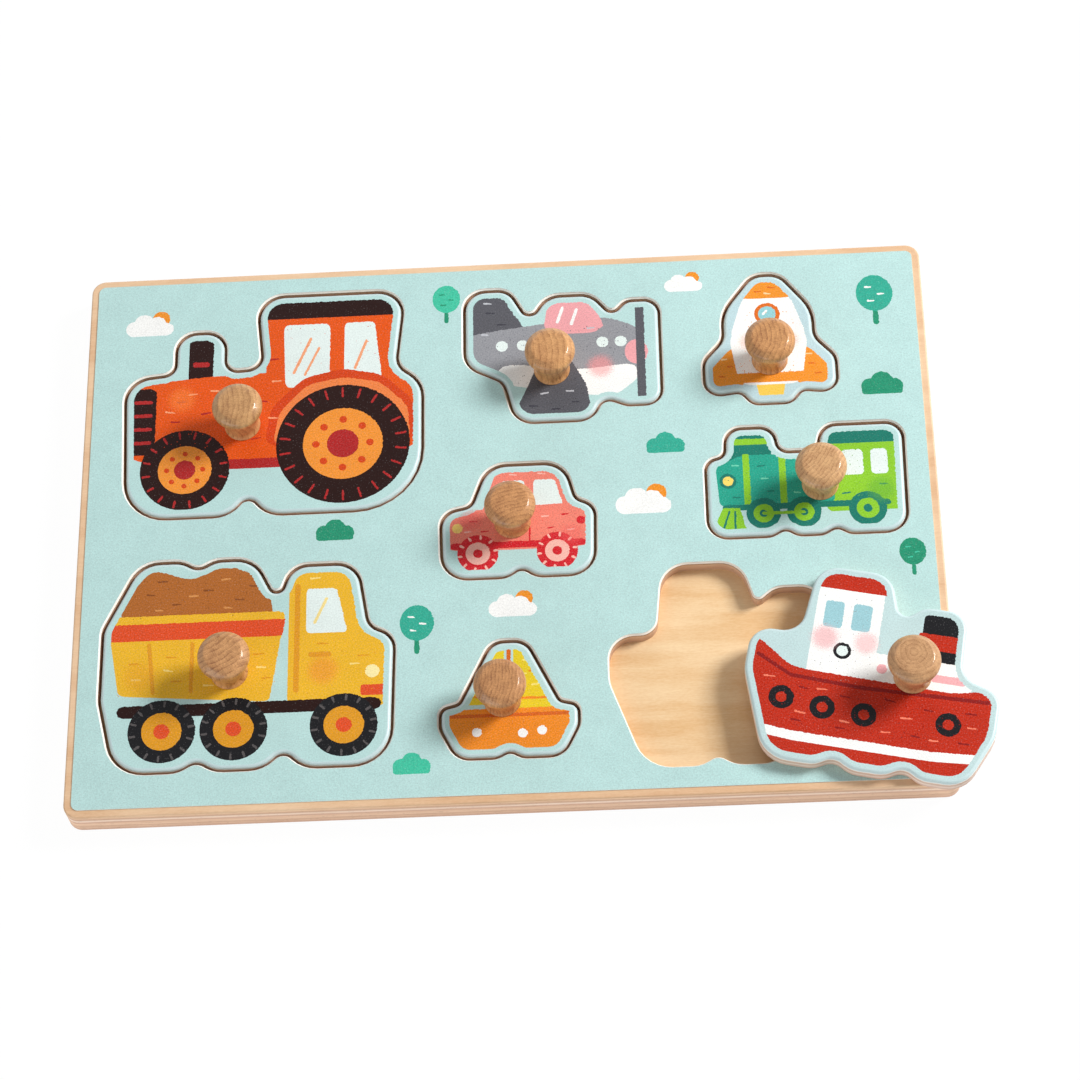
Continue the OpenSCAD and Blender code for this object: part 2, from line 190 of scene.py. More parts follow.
def noise(tree, place, stretch, detail=3.0, rough=0.5):
    """Noise over a piece's own place in mm, with a frequency per mm along each axis."""
    vector = add(tree, "VectorMath", {0: place, 1: stretch}, operation="MULTIPLY").outputs[0]
    sockets = {"Vector": vector, "Scale": 1.0, "Detail": detail, "Roughness": rough}
    return add(tree, "TexNoise", sockets).outputs[0]


def bump(tree, height, strength, distance):
    return add(tree, "Bump", {"Height": height, "Strength": strength, "Distance": distance}).outputs[0]


def feed(tree, node, **inputs):
    """Links sockets to a node's inputs, or sets the inputs' own values."""
    for label, value in inputs.items():
        socket = node.inputs[label.replace("_", " ")]
        if isinstance(value, bpy.types.NodeSocket):
            tree.links.new(value, socket)
        else:
            socket.default_value = value


def group_node(tree, group, **inputs):
    made = tree.nodes.new("ShaderNodeGroup")
    made.node_tree = group
    feed(tree, made, **inputs)
    return made.outputs


def new_material(name):
    """A material with its nodes, its Principled shader and the piece's own coordinates in mm."""
    material = bpy.data.materials.new(name)
    material.use_nodes = True
    tree = material.node_tree
    shader = tree.nodes["Principled BSDF"]
    place = add(tree, "Attribute", attribute_name="place").outputs["Vector"]
    return material, tree, shader, place


# Fine fibres along X over a soft, wide figure, as on a rotary-cut birch face
veneer, veneer_in, veneer_out = node_group(
    "birch veneer",
    [("Place", "Vector", None), ("Light", "Color", (0.8, 0.6, 0.4, 1)),
     ("Dark", "Color", (0.6, 0.4, 0.2, 1))],
    [("Color", "Color"), ("Height", "Float")])
fibre = noise(veneer, veneer_in["Place"], (0.16, 1.9, 1.9), detail=5, rough=0.75)
figure = noise(veneer, veneer_in["Place"], (0.014, 0.035, 0.05), detail=2)
flame = noise(veneer, veneer_in["Place"], (0.022, 0.13, 0.1), detail=4)
speck = noise(veneer, veneer_in["Place"], (0.7, 2.2, 2.2), detail=2)
wide = spread(veneer, figure, 0.4, 0.62, 0, 0.3)
depth = maths(veneer, "ADD", spread(veneer, fibre, 0.3, 0.7, 0, 0.3), wide)
depth = maths(veneer, "ADD", depth, spread(veneer, flame, 0.45, 0.62, -0.04, 0.36))
depth = maths(veneer, "ADD", depth, spread(veneer, speck, 0.3, 0.7, -0.12, 0.12))
veneer.links.new(mixed(veneer, depth, veneer_in["Light"], veneer_in["Dark"]), veneer_out["Color"])
veneer.links.new(fibre, veneer_out["Height"])

# Plies seen on an edge. Level runs from 0 at the bottom of the boards to 1 at the top.
plies, plies_in, plies_out = node_group(
    "ply edges",
    [("Place", "Vector", None), ("Level", "Float", 0.0)],
    [("Color", "Color"), ("Height", "Float")])
ramp = add(plies, "ValToRGB", {0: plies_in["Level"]})
# The lowest stops, up to 0.2, are darker: painted shade for the tray's lower rounded edge.
stops = [
    (0.0, rgb(212, 168, 142)), (0.1, rgb(222, 178, 150)), (0.2, rgb(236, 194, 166)),
    (0.245, rgb(244, 206, 176)), (0.285, rgb(240, 200, 170)), (0.31, rgb(226, 184, 152)),
    (0.35, rgb(234, 192, 162)), (0.39, rgb(248, 212, 182)), (0.5, rgb(248, 210, 178)),
    (0.56, rgb(242, 200, 168)), (0.585, rgb(226, 182, 154)), (0.625, rgb(224, 182, 156)),
    (0.655, rgb(246, 208, 184)), (0.7, rgb(254, 232, 212)), (0.755, rgb(254, 232, 210)),
    (0.785, rgb(224, 184, 156)), (0.87, rgb(222, 180, 148)), (0.9, rgb(238, 198, 162)),
    (0.93, rgb(250, 216, 178)), (1.0, rgb(250, 216, 180)),
]
for at, colour in stops[2:]:
    ramp.color_ramp.elements.new(at)
for element, (at, colour) in zip(ramp.color_ramp.elements, stops):
    element.position = at
    element.color = (*colour, 1)
streak = noise(plies, plies_in["Place"], (0.09, 0.09, 2.2), detail=5, rough=0.65)
pore = noise(plies, plies_in["Place"], (0.7, 0.7, 2.5), detail=2)
toned = mixed(plies, spread(plies, streak, 0.4, 0.7, 0.0, 0.3), ramp.outputs[0], (*rgb(184, 128, 86), 1))
toned = mixed(plies, spread(plies, pore, 0.62, 0.72, 0.0, 0.3), toned, (*rgb(128, 80, 50), 1))
plies.links.new(toned, plies_out["Color"])
plies.links.new(streak, plies_out["Height"])


def veneer_material(name, light, dark):
    material, tree, shader, place = new_material(name)
    grain = group_node(tree, veneer, Place=place, Light=(*light, 1), Dark=(*dark, 1))
    feed(tree, shader, Base_Color=grain["Color"], Roughness=0.55,
         Normal=bump(tree, grain["Height"], 0.12, 0.0002))
    return material


def edge_material(name, bottom, top):
    """Ply edges between two heights in mm."""
    material, tree, shader, place = new_material(name)
    height = add(tree, "SeparateXYZ", {0: place}).outputs[2]
    edge = group_node(tree, plies, Place=place, Level=spread(tree, height, bottom, top))
    feed(tree, shader, Base_Color=edge["Color"], Roughness=0.6,
         Normal=bump(tree, edge["Height"], 0.15, 0.0002))
    return material


back_t, front_t, print_t = 6.5, 5.2, 0.3
tray_top = back_t + front_t + print_t
tray_round, rim_round = 1.3, 0.6
floor_wood = veneer_material("birch_floor", rgb(248, 218, 174), rgb(226, 180, 124))
rim_wood = veneer_material("birch_rim", rgb(240, 205, 168), rgb(216, 170, 128))
tray_edge = edge_material("tray_ply_edge", 0.0, back_t + front_t)


def rounding(ring, inner, radius, z, steps=6, upwards=True):
    """Rings over a quarter round, from the wall's ring to the inner ring, which lies on the face at z."""
    rings = []
    for i in range(steps + 1):
        angle = math.radians(90 * i / steps)
        share = 1 - math.cos(angle)
        drop = radius * (1 - math.sin(angle))
        at = z - drop if upwards else z + drop
        rings.append(([a.lerp(b, share) for a, b in zip(ring, inner)], at))
    return rings


def inset(ring, distance):
    """The ring moved inwards by a distance."""
    count, moved = len(ring), []
    for i, here in enumerate(ring):
        way_in = (here - ring[i - 1]).normalized()
        way_out = (ring[(i + 1) % count] - here).normalized()
        across = Vector((-way_in.y - way_out.y, way_in.x + way_out.x))
        half = across.length / 2
        moved.append(here + across.normalized() * distance / max(half, 0.3))
    return moved


tray_ring = outlines_of("back_panel", back_t)[0]
tray_inner = inset(tray_ring, tray_round)
back = Shape()
back.skin(rounding(tray_ring, tray_inner, tray_round, 0, upwards=False)[::-1], 1)
back.skin([(tray_ring, tray_round), (tray_ring, back_t)], 1)
back.add(*level_faces([tray_ring], back_t, True))
back.add(*level_faces([tray_inner], 0, False))
back.finish("tray_back", [floor_wood, tray_edge], "tray", ["back_panel"])


# Front panel of the tray: birch plywood, sawn through for the eight pockets, its upper edge rounded over.
# The saw leaves smooth walls with the plies showing, and the mouth of each pocket is lightly eased.
# It is glued on the back panel.
wall_darker_from, wall_darker_full = back_t + 3.6, back_t + 4.8
wall_wood, tree, shader, place = new_material("pocket_wall")
height = add(tree, "SeparateXYZ", {0: place}).outputs[2]
wall_level = spread(tree, height, back_t, back_t + front_t, 0.29, 0.445)
wall = group_node(tree, plies, Place=place, Level=wall_level)
# The wall colour is mixed towards dark brown, a little all over and more towards its top.
wall_darker_towards_top = spread(tree, height, wall_darker_from, wall_darker_full, 0.3, 0.8)
feed(tree, shader, Base_Color=mixed(tree, wall_darker_towards_top, wall["Color"], (*rgb(92, 64, 42), 1)), Roughness=0.7)

# The eased mouth of each pocket is coloured near white. This is partly the pale cut edge of paper and wood,
# and partly a painted highlight for the light that the eased edge catches.
pale_mouth_and_painted_highlight = veneer_material("pocket_mouth_and_painted_highlight", rgb(254, 250, 243), rgb(244, 233, 217))

front = Shape()
front_z = back_t + front_t
rim_inner = inset(tray_ring, rim_round)
mouth_ease = 0.5
wall_rings = outlines_of("front_panel", back_t)[1:]
mouth_rings = [inset(ring, -mouth_ease) for ring in wall_rings]
front.skin([(tray_ring, back_t), (tray_ring, front_z - rim_round)], 1)
front.skin(rounding(tray_ring, rim_inner, rim_round, front_z), 0)
front.add(*level_faces([rim_inner] + mouth_rings, front_z, True))
front.add(*level_faces([tray_ring] + wall_rings, back_t, False))
for wall_ring, mouth_ring in zip(wall_rings, mouth_rings):
    # The mouth takes slot 3, whose near-white colour is partly a painted highlight.
    front.skin([(mouth_ring, front_z), (wall_ring, front_z - mouth_ease)], 3)
    front.skin([(wall_ring, front_z - mouth_ease), (wall_ring, back_t)], 2)
front_woods = [rim_wood, tray_edge, wall_wood, pale_mouth_and_painted_highlight]
front.finish("tray_front", front_woods, "tray", ["front_panel"])


# Printed sheet of the tray: varnished paper glued on the front panel and cut out with the pockets.
# It has a pale aqua ground with small clouds, suns, round trees and bushes between the pockets.
# Inks are flat with crayon-like edges, over a fine speckle.
AQUA = rgb(189, 223, 220)
WHITE = rgb(250, 250, 247)
GREEN = rgb(58, 172, 148)
DEEP_GREEN = rgb(44, 146, 112)
LEAF = rgb(72, 196, 162)
ORANGE = rgb(240, 148, 48)
chance = random.Random(7)


def resampled(ring, step):
    made = []
    for a, b in zip(ring, ring[1:] + ring[:1]):
        parts = max(1, round((b - a).length / step))
        made += [a.lerp(b, i / parts) for i in range(parts)]
    return made


def crayoned(ring, rough=0.1, step=0.45):
    """The ring with the fine uneven edge of a crayon."""
    ring = resampled(anticlockwise(ring), step)
    count, moved = len(ring), []
    for i, here in enumerate(ring):
        along = (ring[(i + 1) % count] - ring[i - 1]).normalized()
        out = Vector((along.y, -along.x))
        fringe = rough * (0.6 + 3 * max(0, out.dot(Vector((0.8, 0.6)))))
        moved.append(here + out * chance.uniform(-fringe, rough * 0.6))
    return moved


def blob(points, softness=0.5):
    """A smooth closed curve round a polygon. Softness is the share of each side that is rounded."""
    points, made = [Vector(p) for p in points], []
    for i, here in enumerate(points):
        before, after = points[i - 1], points[(i + 1) % len(points)]
        start, end = here.lerp(before, softness / 2), here.lerp(after, softness / 2)
        made += [start.lerp(here, t).lerp(here.lerp(end, t), t) for t in (0, 0.2, 0.4, 0.6, 0.8, 1)]
    return made


def panel(x0, y0, x1, y1, r=1.5):
    """A rectangle with rounded corners."""
    made = []
    corners = (x1 - r, y0 + r, -90), (x1 - r, y1 - r, 0), (x0 + r, y1 - r, 90), (x0 + r, y0 + r, 180)
    for cx, cy, begin in corners:
        for i in range(6):
            angle = math.radians(begin + 18 * i)
            made.append(Vector((cx + r * math.cos(angle), cy + r * math.sin(angle))))
    return made


def disc(x, y, rx, ry=None, turn=0, sides=40):
    """A disc or an ellipse, which may be turned by some degrees."""
    ry, turn = ry or rx, math.radians(turn)
    cos, sin = math.cos(turn), math.sin(turn)
    made = []
    for i in range(sides):
        angle = 2 * math.pi * i / sides
        px, py = rx * math.cos(angle), ry * math.sin(angle)
        made.append(Vector((x + px * cos - py * sin, y + px * sin + py * cos)))
    return made


def stroke(points, width, tip=None):
    """A brush stroke along points, from width to tip wide, with round ends."""
    points = [Vector(p) for p in points]
    tip = tip or width
    left, right = [], []
    for i, here in enumerate(points):
        along = (points[min(i + 1, len(points) - 1)] - points[max(i - 1, 0)]).normalized()
        across = Vector((-along.y, along.x)) * (width + (tip - width) * i / (len(points) - 1)) / 2
        left.append(here + across)
        right.append(here - across)
    first = (points[1] - points[0]).normalized() * width / 2
    last = (points[-1] - points[-2]).normalized() * tip / 2
    return right + [points[-1] + last * 0.7 + (right[-1] - points[-1]) * 0.7, points[-1] + last,
                    points[-1] + last * 0.7 + (left[-1] - points[-1]) * 0.7] + left[::-1] + [
                    points[0] - first * 0.7 + (left[0] - points[0]) * 0.7, points[0] - first,
                    points[0] - first * 0.7 + (right[0] - points[0]) * 0.7]


def dashes(ink, places, length=3.2, width=0.8):
    """Short hand-drawn marks."""
    made = []
    for x, y in places:
        angle = math.radians(chance.uniform(-8, 8))
        reach = Vector((math.cos(angle), math.sin(angle))) * length * chance.uniform(0.42, 0.55)
        middle = Vector((x, y))
        made.append((ink, stroke([middle - reach, middle, middle + reach], width, width * 0.7)))
    return made


def speckles(ink, x0, y0, x1, y1, count, size=0.22, lean=0):
    """Scattered specks, denser towards the lower edge of the box where lean is above 0."""
    made = []
    for _ in range(count):
        share = chance.random() ** (1 + lean)
        x = chance.uniform(x0, x1)
        y = y0 + (y1 - y0) * share
        made.append((ink, disc(x, y, size * chance.uniform(0.6, 1.2), sides=5, turn=chance.uniform(0, 72))))
    return made


def inked_sheet(shape, outline, holes, limit, shapes, z, ground_and_painted_sheen=AQUA):
    """Adds the top of a printed sheet. Shapes are drawn in their order, and only inside the limit."""
    rings = [outline, limit] + holes
    first = len(rings)
    for ink, ring in shapes:
        rings.append(crayoned(ring) if len(ring) > 5 else anticlockwise(ring))
    points, loops = [], []
    for ring in rings:
        loops.append(list(range(len(points), len(points) + len(ring))))
        points += ring
    flat, _, faces, _, _, origins = delaunay_2d_cdt(points, [], loops, 1, 1e-5)
    kept, inks = [], []
    for face, origin in zip(faces, origins):
        top = max(origin)
        if 0 not in origin or any(2 <= i < first for i in origin):
            continue
        kept.append(list(face))
        inks.append(shapes[top - first][0] if top >= first and 1 in origin else ground_and_painted_sheen)
    shape.add([(p.x, p.y, z) for p in flat], kept, 0, inks)


# A printed ink: soft mottling, fine dark and light specks, and the tooth of the paper
ink_group, ink_in, ink_out = node_group(
    "printed ink",
    [("Ink", "Color", (0.5, 0.5, 0.5, 1)), ("Place", "Vector", None)],
    [("Color", "Color"), ("Roughness", "Float"), ("Height", "Float")])
mottle = noise(ink_group, ink_in["Place"], (0.12, 0.12, 0.12), detail=4)
tooth = noise(ink_group, ink_in["Place"], (1.9, 1.9, 1.9), detail=2, rough=0.7)
fleck = noise(ink_group, ink_in["Place"], (2.1, 2.1, 2.1), detail=1)
paleness = add(ink_group, "RGBToBW", {0: ink_in["Ink"]}).outputs[0]
strength = spread(ink_group, paleness, 0.1, 0.7, 1.0, 0.45)
grain = maths(ink_group, "MULTIPLY", spread(ink_group, tooth, 0.3, 0.7, -0.27, 0.25), strength)
shade = maths(ink_group, "ADD", spread(ink_group, mottle, 0.3, 0.7, 0.97, 1.03), grain)
hue_grain = spread(ink_group, fleck, 0.35, 0.65, 1.03, 0.97)
tint = {"Color": ink_in["Ink"], "Saturation": hue_grain, "Value": shade}
tinted = add(ink_group, "HueSaturation", tint).outputs[0]
tinted = mixed(ink_group, spread(ink_group, fleck, 0.66, 0.74, 0.0, 0.1), tinted, (*rgb(255, 255, 255), 1))
dark = mixed(ink_group, 0.75, tinted, (*rgb(40, 60, 60), 1), "MULTIPLY")
tinted = mixed(ink_group, spread(ink_group, fleck, 0.28, 0.22, 0.0, 0.4), tinted, dark)
ink_group.links.new(tinted, ink_out["Color"])
ink_group.links.new(spread(ink_group, tooth, 0.3, 0.7, 0.36, 0.5), ink_out["Roughness"])
ink_group.links.new(tooth, ink_out["Height"])

# A soft round spot of airbrushed colour
spot_group, spot_in, spot_out = node_group(
    "airbrushed spot",
    [("Color", "Color", (0.5, 0.5, 0.5, 1)), ("Place", "Vector", None), ("Centre", "Vector", None),
     ("Radius", "Float", 5.0), ("Spot", "Color", (1, 0.5, 0.5, 1)), ("Strength", "Float", 0.5)],
    [("Color", "Color")])
ends = {0: spot_in["Place"], 1: spot_in["Centre"]}
away = add(spot_group, "VectorMath", ends, operation="DISTANCE").outputs["Value"]
grit = noise(spot_group, spot_in["Place"], (2.6, 2.6, 2.6), detail=2)
near = maths(spot_group, "DIVIDE", away, spot_in["Radius"])
near = maths(spot_group, "ADD", near, spread(spot_group, grit, 0.3, 0.7, -0.25, 0.25))
fade = {0: near, 1: 0.45, 2: 1.05, 3: 1.0, 4: 0.0}
soft = add(spot_group, "MapRange", fade, interpolation_type="SMOOTHSTEP").outputs[0]
soft = maths(spot_group, "MULTIPLY", soft, spot_in["Strength"])
spot_group.links.new(mixed(spot_group, soft, spot_in["Color"], spot_in["Spot"]), spot_out["Color"])


def print_material(name, spots=()):
    """Varnished printed paper, its inks in the mesh, with spots of (x, y, radius, colour, strength)."""
    material, tree, shader, place = new_material(name)
    colour = add(tree, "Attribute", attribute_name="ink").outputs["Color"]
    for x, y, radius, spot, strength in spots:
        colour = group_node(tree, spot_group, Color=colour, Place=place, Centre=(x, y, 0), Radius=radius,
                            Spot=(*spot, 1), Strength=strength)["Color"]
    ink = group_node(tree, ink_group, Ink=colour, Place=place)
    feed(tree, shader, Base_Color=ink["Color"], Roughness=ink["Roughness"], Specular_IOR_Level=0.12,
         Normal=bump(tree, ink["Height"], 0.08, 0.0001))
    return material


def puffs(ink, x, y, size, rounds, bar):
    """A puffy shape of some discs (x, y, radius) and a bar (x0, y0, x1, y1, corner), drawn at a size."""
    made = [(ink, disc(x + a * size, y + b * size, r * size)) for a, b, r in rounds]
    x0, y0, x1, y1, corner = (n * size for n in bar)
    return made + [(ink, panel(x + x0, y + y0, x + x1, y + y1, corner))]


def cloud(x, y, size):
    """A white cloud with a small sun behind it."""
    rounds = (-4.6, 0, 2.7), (-1.8, 1.8, 3.1), (2.2, 1.2, 2.9), (5, -0.3, 2.2)
    sun = (ORANGE, disc(x + 3.4 * size, y + 3.2 * size, 2.7 * size))
    return [sun] + puffs(WHITE, x, y, size, rounds, (-6.4, -2.6, 6.4, 0.6, 1.5))


def round_tree(x, y, size, leaf, mark):
    """A round tree on a short trunk, with three marks on its crown."""
    made = [(DEEP_GREEN, stroke([(x, y - 6.5 * size), (x, y)], 1.5 * size, 1.1 * size)),
            (leaf, disc(x, y + 1.5 * size, 4.4 * size, 5 * size))]
    return made + dashes(mark, [(x - 1.4 * size, y + 3.2 * size), (x + 1.5 * size, y + 1.2 * size),
                                (x - 0.9 * size, y - 0.6 * size)], 1.5 * size, 0.6 * size)


def bush(x, y, size, leaf):
    rounds = (-3.2, 0, 2.9), (0.4, 1.6, 3.5), (4.2, 0, 2.6)
    return puffs(leaf, x, y, size, rounds, (-6, -2.8, 6.6, 0, 1.1))


motifs = []
for x, y, size in ((-128, 84, 1.2), (65, 92, 0.95), (48, 4, 1.35), (2, -34, 1.15)):
    motifs += cloud(x, y, size)
for x, y, size, leaf, mark in ((133, 83, 1.5, GREEN, WHITE), (-31, -40, 1.35, GREEN, WHITE),
                               (-20.5, 89, 1.15, LEAF, DEEP_GREEN), (139.5, -20, 1.05, DEEP_GREEN, LEAF)):
    motifs += round_tree(x, y, size, leaf, mark)
for x, y, size, leaf in ((-60, -2, 1.05, DEEP_GREEN), (133, 47, 1.15, DEEP_GREEN), (-33, -91, 1.0, LEAF),
                         (56, 27, 1.05, GREEN)):
    motifs += bush(x, y, size, leaf)

sheet_rings = outlines_of("front_print", tray_top)
board = Shape()
inked_sheet(board, sheet_rings[0], sheet_rings[1:], sheet_rings[0], motifs, tray_top)
for ring in sheet_rings:
    cut = [(ring, front_z), (ring, tray_top)]
    board.skin(cut if ring is sheet_rings[0] else cut[::-1], 1)
paper_edge, tree, shader, place = new_material("paper_edge")
fibres = spread(tree, noise(tree, place, (1, 1, 1)), 0.35, 0.65)
pulp = mixed(tree, fibres, (*rgb(244, 246, 244), 1), (*rgb(226, 236, 234), 1))
feed(tree, shader, Base_Color=pulp, Roughness=0.6)
board.finish("tray_print", [print_material("tray_print"), paper_edge], "tray", ["front_print"],
             inked=True)


# Plywood blocks of the eight lift-out pieces: sawn from thin birch plywood, their upper edges rounded over
# and painted in a pale aqua that thins out down the round. The plies show on the wall below, and plain
# veneer underneath. Each has a countersunk hole from below for the screw of its knob.
PIECES = ("tractor", "aeroplane", "rocket", "car", "locomotive", "dump_truck", "sailing_boat", "tugboat")
piece_t, piece_round, round_extra = 5.0, 1.2, 0.1
lower_ease, lower_ease_share = 0.25, 0.2
shank_r, screw_head_r, screw_sunk, sink_h = 1.55, 3.05, 0.3, 2


def seat_of(piece):
    """Height of a piece's underside: seven lie in their pockets, and the tugboat lies on the tray."""
    return tray_top if piece == "tugboat" else back_t


def circle(centre, r, sides=48):
    angles = [2 * math.pi * i / sides for i in range(sides)]
    return [centre + Vector((r * math.cos(a), r * math.sin(a))) for a in angles]


# Heights above a block's underside, in mm: where the bare plies end, the paint starts and the paint covers
plies_end, paint_start, paint_full = 3.95, 4.1, 4.7


def block_material(piece, bottom):
    """Bare plies up to the start of the round, a thin whitish line, and then the aqua paint."""
    material, tree, shader, place = new_material(piece + "_ply")
    height = add(tree, "SeparateXYZ", {0: place}).outputs[2]
    wobble = spread(tree, noise(tree, place, (0.5, 0.5, 0.5)), 0.3, 0.7, -0.1, 0.1)
    level = maths(tree, "ADD", maths(tree, "SUBTRACT", height, bottom), wobble)
    ply_level = spread(tree, level, 0.0, paint_start, 0.52, 0.93)
    edge = group_node(tree, plies, Place=place, Level=ply_level)
    greyed = mixed(tree, 0.35, edge["Color"], (*rgb(196, 186, 184), 1))
    speckle = spread(tree, noise(tree, place, (2.5, 2.5, 2.5)), 0.35, 0.65)
    paint = mixed(tree, speckle, (*rgb(194, 218, 219), 1), (*rgb(205, 226, 227), 1))
    white = (*rgb(246, 246, 240), 1)
    coat = mixed(tree, spread(tree, level, paint_start + 0.05, paint_full), white, paint)
    colour = mixed(tree, spread(tree, level, plies_end, paint_start), greyed, coat)
    feed(tree, shader, Base_Color=colour, Roughness=spread(tree, level, 4.0, 4.3, 0.6, 0.36),
         Normal=bump(tree, edge["Height"], 0.1, 0.0001))
    return material


piece_rings = {}
for piece in PIECES:
    bottom = seat_of(piece)
    outer, sink_ring = outlines_of(piece + "_block", bottom)[:2]
    inner = beside(outer, outlines_of(piece + "_print", bottom + piece_t + print_t)[0])
    hole = sum(sink_ring, Vector((0, 0))) / len(sink_ring)
    piece_rings[piece] = (outer, inner, hole, bottom)
    top = bottom + piece_t + print_t
    rim = piece_round + round_extra
    lead = [a.lerp(b, lower_ease_share) for a, b in zip(outer, inner)]
    wall = [(lead, bottom), (outer, bottom + lower_ease), (outer, top - rim)]
    bore = [(shank_r, top), (shank_r, bottom + sink_h), (screw_head_r, bottom + screw_sunk),
            (screw_head_r, bottom)]
    block = Shape()
    block.skin(wall + rounding(outer, inner, rim, top, 8)[1:])
    block.add(*level_faces([lead, circle(hole, screw_head_r)], bottom, False), 1)
    block.skin([(circle(hole, r), z) for r, z in bore])
    block.finish(piece + "_wood", [block_material(piece, bottom), floor_wood], piece + "_piece",
                 [piece + "_block"])


# Printed pictures of the pieces: the same varnished paper, glued on each block inside its rounded edge.
# Each shows one vehicle on the aqua ground, and a bare margin of that ground follows the piece's outline.
# The coordinates of a picture are mm from its piece's lower left corner.
BROWN = rgb(36, 14, 11)
BLACK = rgb(24, 24, 27)
bare_margin = 2.7


def picture(piece, shapes, spots=(), turn=0, ground_and_painted_sheen=AQUA):
    """Lays a picture on its piece, which may be turned by some degrees."""
    outer, inner, _, bottom = piece_rings[piece]
    turn = Matrix.Rotation(math.radians(turn), 2)
    square = [turn.inverted() @ p for p in outer]
    corner = Vector((min(p.x for p in square), min(p.y for p in square)))
    place = Matrix.Translation((-corner.x, -corner.y, 0)) @ turn.inverted().to_4x4()
    margin = [a.lerp(b, bare_margin / piece_round) for a, b in zip(outer, inner)]
    limit = crayoned(margin, 0.12, 0.5)
    laid = [(ink, [turn @ (corner + p) for p in ring]) for ink, ring in shapes]
    sheet = Shape()
    top = bottom + piece_t + print_t
    inked_sheet(sheet, inner, [], limit, laid, top, ground_and_painted_sheen)
    sheet.skin([(inner, bottom + piece_t), (inner, top)], 1)
    flat = Matrix.Diagonal((1, 1, 0, 1)) @ place
    sheet.finish(piece + "_picture", [print_material(piece + "_picture", spots), paper_edge],
                 piece + "_piece", [piece + "_print"], flat, True)


def wheel(x, y, r, tyre, rim, hub, lugs=0, lug=None):
    """A wheel seen from the side, with marks round its tyre."""
    made = [(tyre, disc(x, y, r, sides=60))]
    centre = Vector((x, y))
    for i in range(lugs):
        angle = 360 * i / lugs + 9
        a = Vector((math.cos(math.radians(angle)), math.sin(math.radians(angle))))
        made.append((lug, stroke([centre + a * r * 0.8, centre + a * r * 0.94], 0.9)))
    return made + [(rim, disc(x, y, r * 0.6)), (hub, disc(x, y, r * 0.24))]


# Tractor picture: orange bonnet and cab on dark brown tyres, facing left. It is printed on the paper of the
# largest piece, with flat inks under a crayon-like speckle.
orange, deep, red, peach = rgb(231, 90, 30), rgb(214, 72, 30), rgb(176, 44, 44), rgb(248, 168, 124)
glass = rgb(232, 244, 240)
shapes = [
    (BROWN, panel(22, 50, 31, 72, 1.5)), (red, panel(23.5, 60, 29.5, 62.2, 0.8)),
    (orange, blob([(2, 22), (60, 20), (64, 57), (30, 56), (6, 54), (2, 46)], 0.35)),
    (orange, blob([(53, 20), (104, 24), (103, 56), (95, 84), (50, 84), (50, 50)], 0.2)),
    (BROWN, panel(40, 78.5, 104, 90, 2.5)),
    (glass, blob([(57, 50), (73, 50), (73, 76), (56, 76)], 0.25)),
    (glass, blob([(78, 50), (92, 50), (89, 76), (78, 76)], 0.25)),
    (peach, stroke([(60, 56), (66, 70)], 1.1)), (peach, stroke([(64, 55), (69, 66)], 0.9)),
    (peach, stroke([(82, 57), (86, 68)], 1.1)),
    (BROWN, panel(1, 25, 11, 52, 2.5)),
    (red, stroke([(12, 20), (56, 20)], 4)),
    (deep, blob([(50, 27), (52, 42), (64, 54), (78, 57), (92, 54), (103, 43), (104, 27), (78, 22)], 0.5)),
    (rgb(240, 134, 74), blob([(53, 27), (55, 40), (65, 51), (78, 53.5), (91, 51), (101, 41), (102, 27),
                              (78, 22)], 0.5)),
]
for k in range(4):
    shapes.append((red, stroke([(3.5, 30 + 5.5 * k), (9, 30 + 5.5 * k)], 1.5)))
back_wheel, front_wheel, rim_orange = (78, 26.5), (22, 18.5), rgb(242, 150, 60)
shapes += wheel(*back_wheel, 23.8, BROWN, rim_orange, red, 22, red)
shapes += wheel(*front_wheel, 16, BROWN, rim_orange, red, 16, red)
shapes += dashes(red, [(20, 46), (29, 41), (49, 45), (18, 38), (47, 30), (53, 62)])
shapes += dashes(peach, [(24, 49), (32, 50), (16, 42), (53, 38), (54, 53)])
for k in range(8):
    angle = math.radians(45 * k)
    for (x, y), reach, r in ((back_wheel, 9.6, 1.4), (front_wheel, 6.4, 1)):
        shapes.append((deep, disc(x + reach * math.cos(angle), y + reach * math.sin(angle), r)))
shapes += speckles(deep, 14, 24, 56, 54, 160, 0.2)
shapes += speckles(deep, 52, 55, 96, 78, 50, 0.18)
picture("tractor", shapes, [(44, 34, 8, deep, 0.5), (20, 47, 6, rgb(250, 136, 66), 0.5)])


# Aeroplane picture: light grey body, dark grey wing and tail, pink canopy and propeller hub, facing right.
# It is printed on the paper of the wide piece at the back.
grey, slate, pink = rgb(152, 153, 158), rgb(92, 92, 98), rgb(240, 168, 172)
shapes = [
    (slate, blob([(2, 52), (14, 52), (22, 36), (20, 28), (2, 28)], 0.4)),
    (grey, blob([(1, 25), (10, 18), (52, 11), (62, 18), (63, 36), (50, 42), (14, 38), (1, 36)], 0.6)),
    (WHITE, blob([(8, 16), (52, 8), (62, 16), (60, 22), (40, 20), (14, 24)], 0.6)),
    (pink, blob([(28, 38), (30, 50), (44, 50), (50, 38), (46, 35), (32, 35)], 0.5)),
    (WHITE, stroke([(33, 40), (35, 46)], 1.2)), (WHITE, stroke([(38, 39), (40, 45)], 1.2)),
    (slate, blob([(16, 1), (45, 1), (43, 14), (38, 24), (26, 24), (22, 14)], 0.4)),
    (pink, disc(61, 26.5, 4.2, 5)),
    (slate, stroke([(62.5, 8), (62.5, 45)], 3.2)),
]
shapes += [(glass, disc(x, 31, 2.2)) for x in (13, 20.5, 49, 55.5)]
